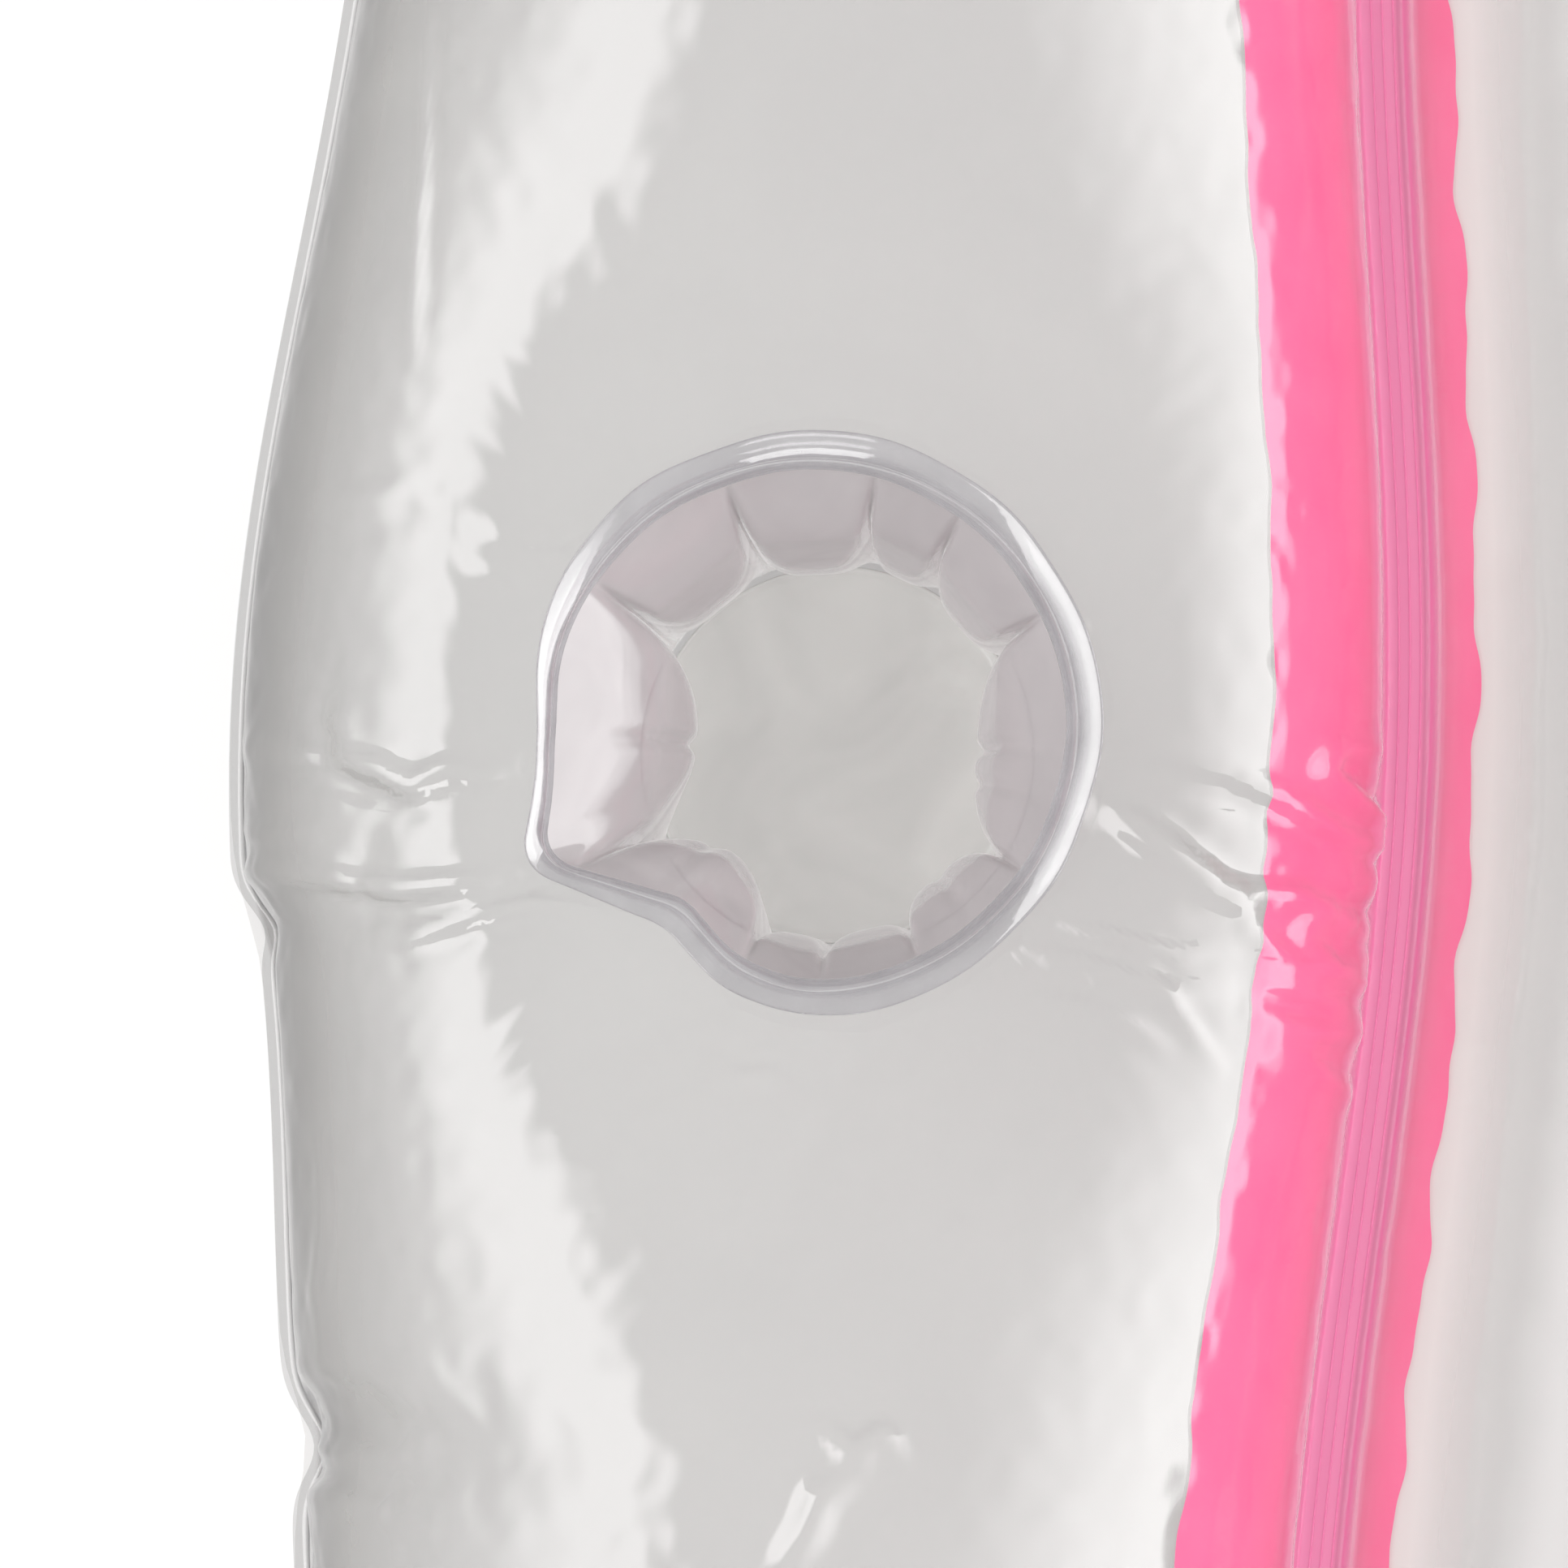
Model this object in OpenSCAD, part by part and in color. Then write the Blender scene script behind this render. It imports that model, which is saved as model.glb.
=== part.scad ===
// Clear inflatable lounging mat: two side rails and a bed of tubes welded from film, a cup
// holder let into the left rail, pink strips over the weld valleys, plug valves and a pillow
// that folds up about its weld line.
// Millimetres. X runs across the mat, Y towards the pillow, Z up; the floor is Z = 0.

/* [Film and welds] */
// Thickness of the film
film_t = 0.4; // [0.2:0.05:0.8]
// Gap between the two sheets at a weld, and between neighbouring sheets
sheet_gap = 0.1; // [0.06:0.01:0.2]
// Height of the weld plane above the floor
seam_z = 61; // [50:1:72]
// How far the blown tubes are pressed flat by the floor
floor_press = 1; // [0.5:0.1:3]
// Width of the weld between two tubes
weld_w = 10; // [6:1:20]
// Width of the weld margin along the sides
side_margin = 3; // [2:0.5:12]
// Width of the weld margin at the ends
end_margin = 12; // [8:1:24]

/* [Rails and bed] */
// Width of a rail
rail_w = 164; // [150:1:190]
// Rise of a rail above the weld plane
rail_rise = 76; // [64:1:90]
// Number of tubes in the bed
tube_count = 4; // [3:1:6]
// Width of a bed tube
tube_w = 112; // [90:1:140]
// Rise of a bed tube above the weld plane
tube_rise = 52; // [40:1:65]
// Length of the rails and the bed between their end welds
bed_len = 1480; // [1250:10:1700]
// Length over which a tube rounds off to its end weld
end_round = 85; // [60:1:110]
// Distance from an end weld to the welds inside the bed
weld_stop = 118; // [112:1:160]
// Height of the open channel at the bed's ends, as a share of the tubes' rise
header_share = 0.88; // [0.7:0.01:1]

/* [Pillow] */
// Length of the pillow along the mat, between its welds
pillow_len = 290; // [220:5:360]
// Rise of the pillow above the weld plane
pillow_rise = 84; // [65:1:100]
// Length over which the pillow rounds off to its sides
pillow_round = 150; // [100:5:180]
// How far the blown pillow draws its far edge in
draw_in = 10; // [0:1:25]
// Radius of the bead that the pillow folds about
bead_r = 0.45; // [0.3:0.05:0.6]
// Clearance round that bead
bead_gap = 0.15; // [0.1:0.05:0.3]

/* [Cup holder] */
// Distance of the cup holder from the fold of the pillow
cup_from_fold = 445; // [300:5:650]
// Depth from the film round the rim down to the base
cup_depth = 109; // [95:1:120]
// Diameter of the rim's bore
cup_d = 90; // [78:1:98]
// Diameter of the rim's flared edge
flare_d = 100; // [99:1:110]
// Wall of the rim, two fused films
rim_wall = 0.9; // [0.6:0.1:1.5]
// Height of the rim's flared edge above the film
rim_up = 5.5; // [4.5:0.1:8]
// Length of the rim below the film
rim_down = 5; // [3:0.5:8]
// Diameter of the base disc
base_d = 70; // [56:1:76]
// Number of lobes in the sleeve
lobe_count = 12; // [8:1:14]
// How far a lobe bulges into the cup holder
lobe_depth = 9; // [4:0.5:12]
// How far the rail bulges outwards beside the cup holder
bulge_out = 17; // [8:0.5:24]
// How far the rail bulges towards the bed there
bulge_in = 12.5; // [6:0.5:18]
// Distance along the rail that the cup holder pulls on
pull_reach = 160; // [130:5:200]

/* [Strips] */
// Thickness of a strip
strip_t = 0.35; // [0.2:0.05:0.6]
// Clearance between a strip and the film under it
strip_gap = 0.2; // [0.15:0.05:0.4]

/* [Valves] */
// Distance of the rail and bed valves from the foot end
valve_from_foot = 210; // [140:5:400]
// Distance of the pillow's valve from the middle
pillow_valve_x = 200; // [0:5:240]
// Diameter of the valve's bore
bore_d = 8; // [6:0.5:10]
// Wall of the neck
neck_wall = 2; // [1.5:0.1:3]
// Height of the neck above the film
neck_up = 12; // [10:0.5:16]
// Length of the neck below the film
neck_down = 9; // [7:0.5:14]
// Diameter of the welded flange
flange_d = 32; // [26:1:40]
// Thickness of the flange
flange_t = 1.15; // [0.8:0.05:2]
// Height of the flange's collar above the film
collar_up = 2.6; // [2:0.1:3.5]
// Length of the tapered plug
plug_len = 4.4; // [3:0.1:5]

/* [Hidden] */
$fn = 64;

// colours
clear_colour = [0.84, 0.84, 0.86, 0.5];
pink_colour = [0.97, 0.45, 0.65, 0.9];
rim_colour = [0.78, 0.76, 0.82, 0.7];
valve_colour = [0.88, 0.89, 0.9, 0.9];

// rails and bed
rail_half = rail_w / 2;
tube_half = tube_w / 2;
bed_half = tube_count * tube_half + (tube_count - 1) * weld_w / 2;
rail_mid = bed_half + weld_w + rail_half;
mat_half = rail_mid + rail_half + side_margin;
drop = seam_z + floor_press;
half_gap = sheet_gap / 2;

// places along the mat
fold_gap = bead_r + bead_gap;
total_len = bed_len + pillow_len + 4 * end_margin + 2 * fold_gap;
foot_y = -total_len / 2;
bed_y = foot_y + end_margin + bed_len / 2;
fold_y = bed_y + bed_len / 2 + end_margin + fold_gap;
pillow_near = fold_y + fold_gap + end_margin;
pillow_far = total_len / 2 - end_margin;
pillow_half_x = mat_half - end_margin;
cup_y = fold_y - cup_from_fold;
valve_y = foot_y + valve_from_foot;
shift_x = bulge_out / 2;                // centres the outline, bulge and all

// cup holder: the base lies on the lower film, and the rim stands on the upper one
rim_r = cup_d / 2;
flare_r = flare_d / 2;
base_r = base_d / 2;
base_low = film_t + sheet_gap;
base_t = 2 * film_t;
cup_z = base_low + base_t + cup_depth;
cup_rise = cup_z - seam_z - film_t;     // rise of the film that the rim stands on
level_w = 12;
flat_r = flare_r + level_w;             // the film is level out to here
shoulder = 30;                          // and back to the rail's own round this much further out
rim_hole_gap = 0.25;

// valve
bore_r = bore_d / 2;
neck_r = bore_r + neck_wall;
slide_gap = 0.08;
lip_r = neck_r + 1;
lip_t = 2;
keeper_r = neck_r + 1.4;
keeper_t = 1;
keeper_low = 3.6;
collar_r = neck_r + 1.4;
film_hole_r = neck_r + 0.6;
flange_gap = 0.15;
plug_gap = 0.2;
plug_taper = 1.1;
cap_gap = 0.12;
cap_t = 1.7;
strap_t = 1;
strap_w = 3.8;
bend_r = 0.8;                           // bead at the strap's bend
strap_reach = 3.5;
bend_x = lip_r + strap_reach;
bend_up = 1;
seat_t = 1.6;                           // block on the neck that the strap bends over
tab_len = 6;
tab_w = 5;
tab_t = 1.1;
flap_r = bore_r + 0.9;
flap_t = 0.5;
flap_gap = 0.25;
flap_bend_x = flap_r + 0.5;
flap_bend_r = 0.35;

// Shape of the blown film

// rise of a film at the share q of the way from its weld to its crown
function dome(q, n = 2) = q <= 0 ? 0 : q >= 1 ? 1 : pow(1 - pow(1 - q, n), 1 / n);
function smooth(q) = q <= 0 ? 0 : q >= 1 ? 1 : q * q * (3 - 2 * q);
function mix(a, b, k) = a + (b - a) * k;

// pull of the cup holder on the rail beside it: 1 at the cup and 0 away from it
function pull(y) = lookup(abs(y - cup_y) / pull_reach, [[0, 1], [0.47, 0.63], [1, 0.12], [1.6, 0]]);

// distance from the nearer end weld of the rails and the bed
function end_d(y) = bed_len / 2 - abs(y - bed_y);
function end_dome(y, o) = dome((end_d(y) + o) / (end_round + o));

// edges, middle and half width of a rail at y; side -1 is the left rail, with the cup holder
function rail_pull(side, y) = side < 0 ? pull(y) : 0;
function rail_in(side, y) = side * (bed_half + weld_w) + bulge_in * rail_pull(side, y);
function rail_out(side, y) = side * (rail_mid + rail_half) - bulge_out * rail_pull(side, y);
function rail_c(side, y) = (rail_in(side, y) + rail_out(side, y)) / 2;
function rail_hw(side, y) = abs(rail_in(side, y) - rail_out(side, y)) / 2;
cup_x = rail_c(-1, cup_y);

// the same for bed tube k, counted from 0; the first one gives way to the bulging rail
function tube_lo(k, y) = -bed_half + k * (tube_w + weld_w) + (k == 0 ? bulge_in * pull(y) : 0);
function tube_hi(k) = -bed_half + k * (tube_w + weld_w) + tube_w;
function tube_c(k, y) = (tube_lo(k, y) + tube_hi(k)) / 2;
function tube_hw(k, y) = (tube_hi(k) - tube_lo(k, y)) / 2;

// section of a rail, flatter on top where the cup holder ties it; o moves it outwards
function rail_section(side, x, y, o) =
    let (w = rail_hw(side, y))
    dome((w - abs(x - rail_c(side, y)) + o) / (w + o), 2 + 1.2 * rail_pull(side, y)) * end_dome(y, o);

// heights above and below the weld plane
function rail_up(side, x, y, o) =
    let (h = mix(rail_rise, cup_rise, rail_pull(side, y)) * rail_section(side, x, y, o),
         r = norm([x - cup_x, y - cup_y]))
    side < 0 ? mix(h, cup_rise, smooth((flat_r + shoulder - r) / shoulder)) : h;
function rail_down(side, x, y, o) = (drop + 3 * rail_pull(side, y)) * rail_section(side, x, y, o);

function bed_section(k, x, y, o) =
    let (w = tube_hw(k, y),
         s = dome((w - abs(x - tube_c(k, y)) + o) / (w + o)),
         by_rail = (k == 0 && x < tube_c(k, y)) || (k == tube_count - 1 && x > tube_c(k, y)),
         open = smooth((weld_stop - end_d(y)) / (weld_stop / 2)))
    (by_rail ? s : mix(s, max(s, header_share), open)) * end_dome(y, o);

// far edge, middle and half length of the pillow at x
function pillow_edge(x) = pillow_far - draw_in * (1 - pow(x / pillow_half_x, 2));
function pillow_c(x) = (pillow_near + pillow_edge(x)) / 2;
function pillow_hl(x) = (pillow_edge(x) - pillow_near) / 2;
function pillow_section(x, y, o) =
    dome((pillow_half_x - abs(x) + o) / (pillow_round + o))
        * dome((pillow_hl(x) - abs(y - pillow_c(x)) + o) / (pillow_hl(x) + o));

// faces of a sheet that rises by h above the weld plane, and of one that hangs by h below it
function upper_top(h) = seam_z + film_t + h;
function upper_low(h) = seam_z + half_gap + h;
function lower_low(h) = max(0, seam_z - film_t - h);
function lower_top(h) = max(film_t, seam_z - half_gap - h);

// Grids of the sheets

// two triangles that fill a face with four corners, split from its first to its third
function quad(a, b, c, d) = [[a, b, c], [a, c, d]];

// a closed sheet between two grids of points, with rows along +Y and columns along +X
module sheet(low, top) {
    n = len(low);
    m = len(low[0]);
    k = n * m;
    points = concat([for (r = low) each r], [for (r = top) each r]);
    faces = concat(
        [for (i = [0 : n - 2], j = [0 : m - 2])
            let (a = i * m + j, b = a + m)
            each concat(quad(k + a, k + b, k + b + 1, k + a + 1), quad(b + 1, b, a, a + 1))],
        [for (j = [0 : m - 2])
            let (a = j, b = (n - 1) * m + j)
            each concat(quad(a, k + a, k + a + 1, a + 1), quad(b + 1, k + b + 1, k + b, b))],
        [for (i = [0 : n - 2])
            let (a = i * m, b = i * m + m - 1)
            each concat(quad(a + m, k + a + m, k + a, a), quad(b, k + b, k + b + m, b + m))]
    );
    translate([shift_x, 0, 0])
        polyhedron(points, faces);
}

// rows, from the foot to the head: end rows are distances from an end weld
function from_ends(ends, rows) = concat(
    [for (d = ends) bed_y - bed_len / 2 + d],
    rows,
    [for (i = [len(ends) - 1 : -1 : 0]) bed_y + bed_len / 2 - ends[i]]);
function by_cup(shares) = concat(
    [for (i = [len(shares) - 1 : -1 : 0]) cup_y - shares[i] * pull_reach],
    [cup_y],
    [for (s = shares) cup_y + s * pull_reach]);
inner_ends = [0.165 * end_round, 0.47 * end_round, end_round, weld_stop];
top_ends = concat([-end_margin, 0, 0.035 * end_round], inner_ends);
low_ends = [-end_margin, 0, 0.05 * end_round, 0.26 * end_round, end_round];
coarse_cup = by_cup([0.47, 1]);
fine_cup = by_cup([0.175, 0.325, 0.47, 0.69, 1]);

// columns are turns of the film from its weld over its crown, with flat strips where it lies
rail_turns = [for (u = [-90 : 18 : 90]) u];
tube_turns = [for (u = [-90 : 30 : 90]) u];
pillow_turns = [for (u = [-90 : 18 : 90]) u];
low_rail_turns = [-90, -66, -42, -12, 12, 42, 66, 90];
low_cup_turns = [-90, -66, -45, -25, -12, 12, 25, 45, 66, 90];
low_tube_turns = [-90, -50, -12, 12, 50, 90];
low_pillow_turns = [-90, -68, -42, -12, 12, 42, 68, 90];

function rail_cols(side, y, turns) =
    let (c = rail_c(side, y), w = rail_hw(side, y), inner = weld_w / 2 - half_gap)
    concat([c - w - (side < 0 ? side_margin : inner)],
           [for (u = turns) c + w * sin(u)],
           [c + w + (side < 0 ? inner : side_margin)]);

// columns of the bed as [tube, x]
function bed_cols(y, turns) = concat(
    [[0, tube_lo(0, y) - weld_w / 2 + half_gap]],
    [for (k = [0 : tube_count - 1]) for (u = turns) [k, tube_c(k, y) + tube_hw(k, y) * sin(u)]],
    [[tube_count - 1, tube_hi(tube_count - 1) + weld_w / 2 - half_gap]]);

pillow_ends = [-end_margin, 0, 0.03 * pillow_round, 0.15 * pillow_round, 0.4 * pillow_round, pillow_round];
pillow_cols = concat([for (d = pillow_ends) -pillow_half_x + d],
                     [0],
                     [for (i = [len(pillow_ends) - 1 : -1 : 0]) pillow_half_x - pillow_ends[i]]);

// row number i of the pillow at x: the margins are the first row and the last
function pillow_row(turns, i, x) =
    i == 0 ? fold_y + fold_gap
    : i > len(turns) ? pillow_edge(x) + end_margin
    : pillow_c(x) + pillow_hl(x) * sin(turns[i - 1]);

// Rails, bed and pillow

module rail_top(side, valve) {
    rows = from_ends(top_ends, side < 0 ? fine_cup : []);
    color(clear_colour)
        difference() {
            sheet([for (y = rows) [for (x = rail_cols(side, y, rail_turns))
                      [x, y, upper_low(rail_up(side, x, y, -film_t))]]],
                  [for (y = rows) [for (x = rail_cols(side, y, rail_turns))
                      [x, y, upper_top(rail_up(side, x, y, 0))]]]);
            if (side < 0)
                translate([cup_x + shift_x, cup_y, seam_z])
                    cylinder(r = rim_r + rim_wall + rim_hole_gap, h = 2 * rail_rise);
            valve_hole(valve);
        }
}

module rail_bottom(side, rows, turns) {
    color(clear_colour)
        sheet([for (y = rows) [for (x = rail_cols(side, y, turns))
                  [x, y, lower_low(rail_down(side, x, y, 0))]]],
              [for (y = rows) [for (x = rail_cols(side, y, turns))
                  [x, y, lower_top(rail_down(side, x, y, -film_t))]]]);
}

// the left rail's lower sheet comes in three lengths: towards the foot, under the cup holder
// and towards the pillow
cup_bay = 0.47 * pull_reach;
left_low = from_ends(low_ends, coarse_cup);
function rows_between(rows, from, to) =
    concat([from], [for (y = rows) if (y > from + film_t && y < to - film_t) y], [to]);
left_low_foot = rows_between(left_low, left_low[0], cup_y - cup_bay - half_gap);
left_low_cup = rows_between(left_low, cup_y - cup_bay + half_gap, cup_y + cup_bay - half_gap);
left_low_head = rows_between(left_low, cup_y + cup_bay + half_gap, left_low[len(left_low) - 1]);
right_low = from_ends(low_ends, []);

module bed_top(valve) {
    rows = from_ends(top_ends, coarse_cup);
    color(clear_colour)
        difference() {
            sheet([for (y = rows) [for (c = bed_cols(y, tube_turns))
                      [c[1], y, upper_low(tube_rise * bed_section(c[0], c[1], y, -film_t))]]],
                  [for (y = rows) [for (c = bed_cols(y, tube_turns))
                      [c[1], y, upper_top(tube_rise * bed_section(c[0], c[1], y, 0))]]]);
            valve_hole(valve);
        }
}

module bed_bottom() {
    rows = from_ends(low_ends, coarse_cup);
    color(clear_colour)
        sheet([for (y = rows) [for (c = bed_cols(y, low_tube_turns))
                  [c[1], y, lower_low(drop * bed_section(c[0], c[1], y, 0))]]],
              [for (y = rows) [for (c = bed_cols(y, low_tube_turns))
                  [c[1], y, lower_top(drop * bed_section(c[0], c[1], y, -film_t))]]]);
}

module pillow_top(valve) {
    color(clear_colour)
        difference() {
            sheet([for (i = [0 : len(pillow_turns) + 1]) [for (x = pillow_cols)
                      let (y = pillow_row(pillow_turns, i, x))
                      [x, y, upper_low(pillow_rise * pillow_section(x, y, -film_t))]]],
                  [for (i = [0 : len(pillow_turns) + 1]) [for (x = pillow_cols)
                      let (y = pillow_row(pillow_turns, i, x))
                      [x, y, upper_top(pillow_rise * pillow_section(x, y, 0))]]]);
            valve_hole(valve);
        }
}

module pillow_bottom() {
    color(clear_colour)
        sheet([for (i = [0 : len(low_pillow_turns) + 1]) [for (x = pillow_cols)
                  let (y = pillow_row(low_pillow_turns, i, x))
                  [x, y, lower_low(drop * pillow_section(x, y, 0))]]],
              [for (i = [0 : len(low_pillow_turns) + 1]) [for (x = pillow_cols)
                  let (y = pillow_row(low_pillow_turns, i, x))
                  [x, y, lower_top(drop * pillow_section(x, y, -film_t))]]]);
}

// round bead in the weld that the pillow folds about
module pillow_bead() {
    color(clear_colour)
        translate([shift_x, fold_y, seam_z])
            rotate([0, 90, 0])
                cylinder(r = bead_r, h = 2 * (mat_half - end_margin), center = true);
}

// Pink strips: strip i lies in valley i, counted from 1 at the left rail, and climbs the
// film on both sides of it; its edges follow the columns of that film

rail_climb = [54, 72, 90];
tube_climb = [60, 90];
weld_foot = 0.8;                        // the strip leaves the weld this far from the film

function strip_left(i, x, y, o) =
    i == 1 ? rail_up(-1, x, y, o) : tube_rise * bed_section(i - 2, x, y, o);
function strip_right(i, x, y, o) =
    i > tube_count ? rail_up(1, x, y, o) : tube_rise * bed_section(i - 1, x, y, o);

// columns of strip i as [side, x]
function strip_cols(i, y) =
    let (lc = i == 1 ? rail_c(-1, y) : tube_c(i - 2, y),
         lw = i == 1 ? rail_hw(-1, y) : tube_hw(i - 2, y),
         rc = i > tube_count ? rail_c(1, y) : tube_c(i - 1, y),
         rw = i > tube_count ? rail_hw(1, y) : tube_hw(i - 1, y),
         right = i > tube_count ? rail_climb : tube_climb)
    concat([for (u = i == 1 ? rail_climb : tube_climb) [-1, lc + lw * sin(u)]],
           [[-1, lc + lw + weld_foot], [1, rc - rw - weld_foot]],
           [for (j = [len(right) - 1 : -1 : 0]) [1, rc - rw * sin(right[j])]]);

function strip_z(i, c, y, o) =
    upper_top(o + (c[0] < 0 ? strip_left(i, c[1], y, o) : strip_right(i, c[1], y, o)));

module seam_strip(i) {
    by_rail = i == 1 || i > tube_count;
    rows = from_ends(by_rail ? inner_ends : [weld_stop], i == 1 ? fine_cup : i == 2 ? coarse_cup : []);
    color(pink_colour)
        sheet([for (y = rows) [for (c = strip_cols(i, y)) [c[1], y, strip_z(i, c, y, strip_gap)]]],
              [for (y = rows) [for (c = strip_cols(i, y)) [c[1], y, strip_z(i, c, y, strip_gap + strip_t)]]]);
}

// Cup holder

module at_cup(z) {
    translate([cup_x + shift_x, cup_y, z])
        children();
}

// upstanding ring: a short cylinder that flares at its free edge
module cup_rim() {
    flare_rise = 0.62 * (flare_r - rim_r);
    color(rim_colour)
        at_cup(cup_z)
            rotate_extrude($fn = 128)
                polygon([[rim_r, -rim_down], [rim_r + rim_wall, -rim_down],
                         [rim_r + rim_wall, rim_up - rim_wall - flare_rise],
                         [flare_r, rim_up - rim_wall], [flare_r, rim_up], [rim_r, rim_up - flare_rise]]);
}

// lobed wall between the rim and the base
sleeve_steps = [0, 0.12, 0.3, 0.5, 0.7, 0.88, 1];
lobe_points = 4;
sleeve_top = cup_z - rim_down - sheet_gap;
sleeve_low = base_low + base_t + sheet_gap;
function sleeve_r(a, q) =
    mix(rim_r + rim_wall / 2, base_r - film_t, q)
        - lobe_depth * pow(sin(180 * q), 0.8) * abs(sin(lobe_count / 2 * a));
function sleeve_ring(q, o) = [for (j = [0 : lobe_count * lobe_points - 1])
    let (a = j * 360 / (lobe_count * lobe_points), r = sleeve_r(a, q) + o)
    [r * cos(a), r * sin(a), mix(sleeve_top, sleeve_low, q)]];

module cup_sleeve() {
    n = len(sleeve_steps);
    m = lobe_count * lobe_points;
    k = n * m;
    points = concat([for (q = sleeve_steps) each sleeve_ring(q, 0)],
                    [for (q = sleeve_steps) each sleeve_ring(q, film_t)]);
    faces = concat(
        [for (i = [0 : n - 2], j = [0 : m - 1])
            let (a = i * m + j, b = i * m + (j + 1) % m)
            each concat(quad(a, a + m, b + m, b), quad(k + a, k + b, k + b + m, k + a + m))],
        [for (j = [0 : m - 1])
            let (a = j, b = (j + 1) % m, e = (n - 1) * m)
            each concat(quad(a, b, k + b, k + a), quad(e + a, k + e + a, k + e + b, e + b))]
    );
    color(clear_colour)
        at_cup(0)
            polyhedron(points, faces);
}

module cup_base() {
    color(clear_colour)
        at_cup(base_low)
            cylinder(r = base_r, h = base_t, $fn = 96);
}

// Valves, each drawn about the crown of its film

// name, place of the crown, bend radius of the film there and the turn of that bend
function valve(name, x, y, rise, half, turn) =
    [name, [x + shift_x, y, upper_top(rise)], half * half / rise, turn];
VALVES = [
    valve("left_rail", -rail_mid, valve_y, rail_rise, rail_half, 0),
    valve("right_rail", rail_mid, valve_y, rail_rise, rail_half, 0),
    valve("bed", tube_c(tube_count - 1, valve_y), valve_y, tube_rise, tube_half, 0),
    valve("pillow", pillow_valve_x, pillow_c(pillow_valve_x), pillow_rise, pillow_hl(pillow_valve_x), 90)
];

module at_valve(v) {
    color(valve_colour)
        translate(v[1])
            children();
}

module valve_hole(v) {
    at_valve(v)
        cylinder(r = film_hole_r, h = 2 * neck_up, center = true);
}

// welded patch that follows the film, with a collar round the neck
module valve_flange(v) {
    under_r = v[2] + flange_gap;
    at_valve(v)
        difference() {
            union() {
                rotate([0, 0, v[3]])
                    intersection() {
                        cylinder(d = flange_d, h = flange_d, center = true);
                        translate([0, 0, -v[2]])
                            rotate([90, 0, 0])
                                difference() {
                                    cylinder(r = under_r + flange_t, h = 2 * flange_d, center = true);
                                    cylinder(r = under_r, h = 3 * flange_d, center = true);
                                }
                    }
                translate([0, 0, flange_gap + flange_t / 2])
                    cylinder(r = collar_r, h = collar_up - flange_gap - flange_t / 2);
            }
            cylinder(r = neck_r + slide_gap, h = 3 * collar_up, center = true);
        }
}

// push-in tube with a lip at the top, a keeper inside and a block for the strap
module valve_neck(v) {
    at_valve(v)
        difference() {
            union() {
                translate([0, 0, -neck_down])
                    cylinder(r = neck_r, h = neck_down + neck_up);
                translate([0, 0, neck_up - lip_t])
                    cylinder(r = lip_r, h = lip_t);
                translate([0, 0, -keeper_low])
                    cylinder(r = keeper_r, h = keeper_t);
                translate([-bend_x - bend_r, -strap_w * 0.6, neck_up - seat_t])
                    cube([bend_x + bend_r - neck_r, strap_w * 1.2, seat_t]);
            }
            translate([0, 0, -2 * neck_down])
                cylinder(r = bore_r, h = 4 * neck_up);
        }
}

// tapered plug under a cap, on a strap that bends at its far end, with a tab to pull
module valve_stopper(v) {
    plug_r = bore_r - plug_gap;
    at_valve(v)
        translate([0, 0, neck_up]) {
            translate([0, 0, -plug_len])
                cylinder(r1 = plug_r - plug_taper, r2 = plug_r, h = plug_len + 2 * cap_gap);
            translate([0, 0, cap_gap])
                cylinder(r = lip_r, h = cap_t);
            translate([-bend_x, -strap_w / 2, bend_up - strap_t / 2])
                cube([bend_x - neck_r, strap_w, strap_t]);
            translate([-bend_x, 0, bend_up])
                rotate([90, 0, 0])
                    cylinder(r = bend_r, h = strap_w * 1.15, center = true);
            translate([neck_r, -tab_w / 2, bend_up - tab_t / 2])
                cube([tab_len, tab_w, tab_t]);
            translate([neck_r + tab_len, 0, bend_up - tab_t / 2])
                cylinder(d = tab_w, h = tab_t);
        }
}

// thin disc that shuts the neck from inside
module valve_flap(v) {
    at_valve(v)
        translate([0, 0, -neck_down - flap_gap - flap_t / 2]) {
            cylinder(r = flap_r, h = flap_t, center = true);
            translate([-flap_bend_x, -strap_w * 0.4, -flap_t / 2])
                cube([flap_bend_x, strap_w * 0.8, flap_t]);
            translate([-flap_bend_x, 0, 0])
                rotate([90, 0, 0])
                    cylinder(r = flap_bend_r, h = strap_w, center = true);
        }
}

rail_top(-1, VALVES[0]);  // left_rail_top_film
rail_bottom(-1, left_low_foot, low_cup_turns);  // left_rail_bottom_film
rail_bottom(-1, left_low_cup, low_cup_turns);  // left_rail_cup_bottom_film
rail_bottom(-1, left_low_head, low_cup_turns);  // left_rail_head_bottom_film
rail_top(1, VALVES[1]);  // right_rail_top_film
rail_bottom(1, right_low, low_rail_turns);  // right_rail_bottom_film
bed_top(VALVES[2]);  // bed_top_film
bed_bottom();  // bed_bottom_film
pillow_top(VALVES[3]);  // pillow_top_film
pillow_bottom();  // pillow_bottom_film
pillow_bead();  // pillow_weld_bead
for (i = [1 : tube_count + 1])
    seam_strip(i);
cup_rim();
cup_sleeve();
cup_base();
for (v = VALVES) {
    valve_flange(v);
    valve_neck(v);
    valve_stopper(v);
    valve_flap(v);
}
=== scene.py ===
"""Looks of the clear inflatable lounging mat: blown film, pink strips, cup holder and valves."""

import math

import bpy
import numpy as np
from mathutils import Matrix, Vector


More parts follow.
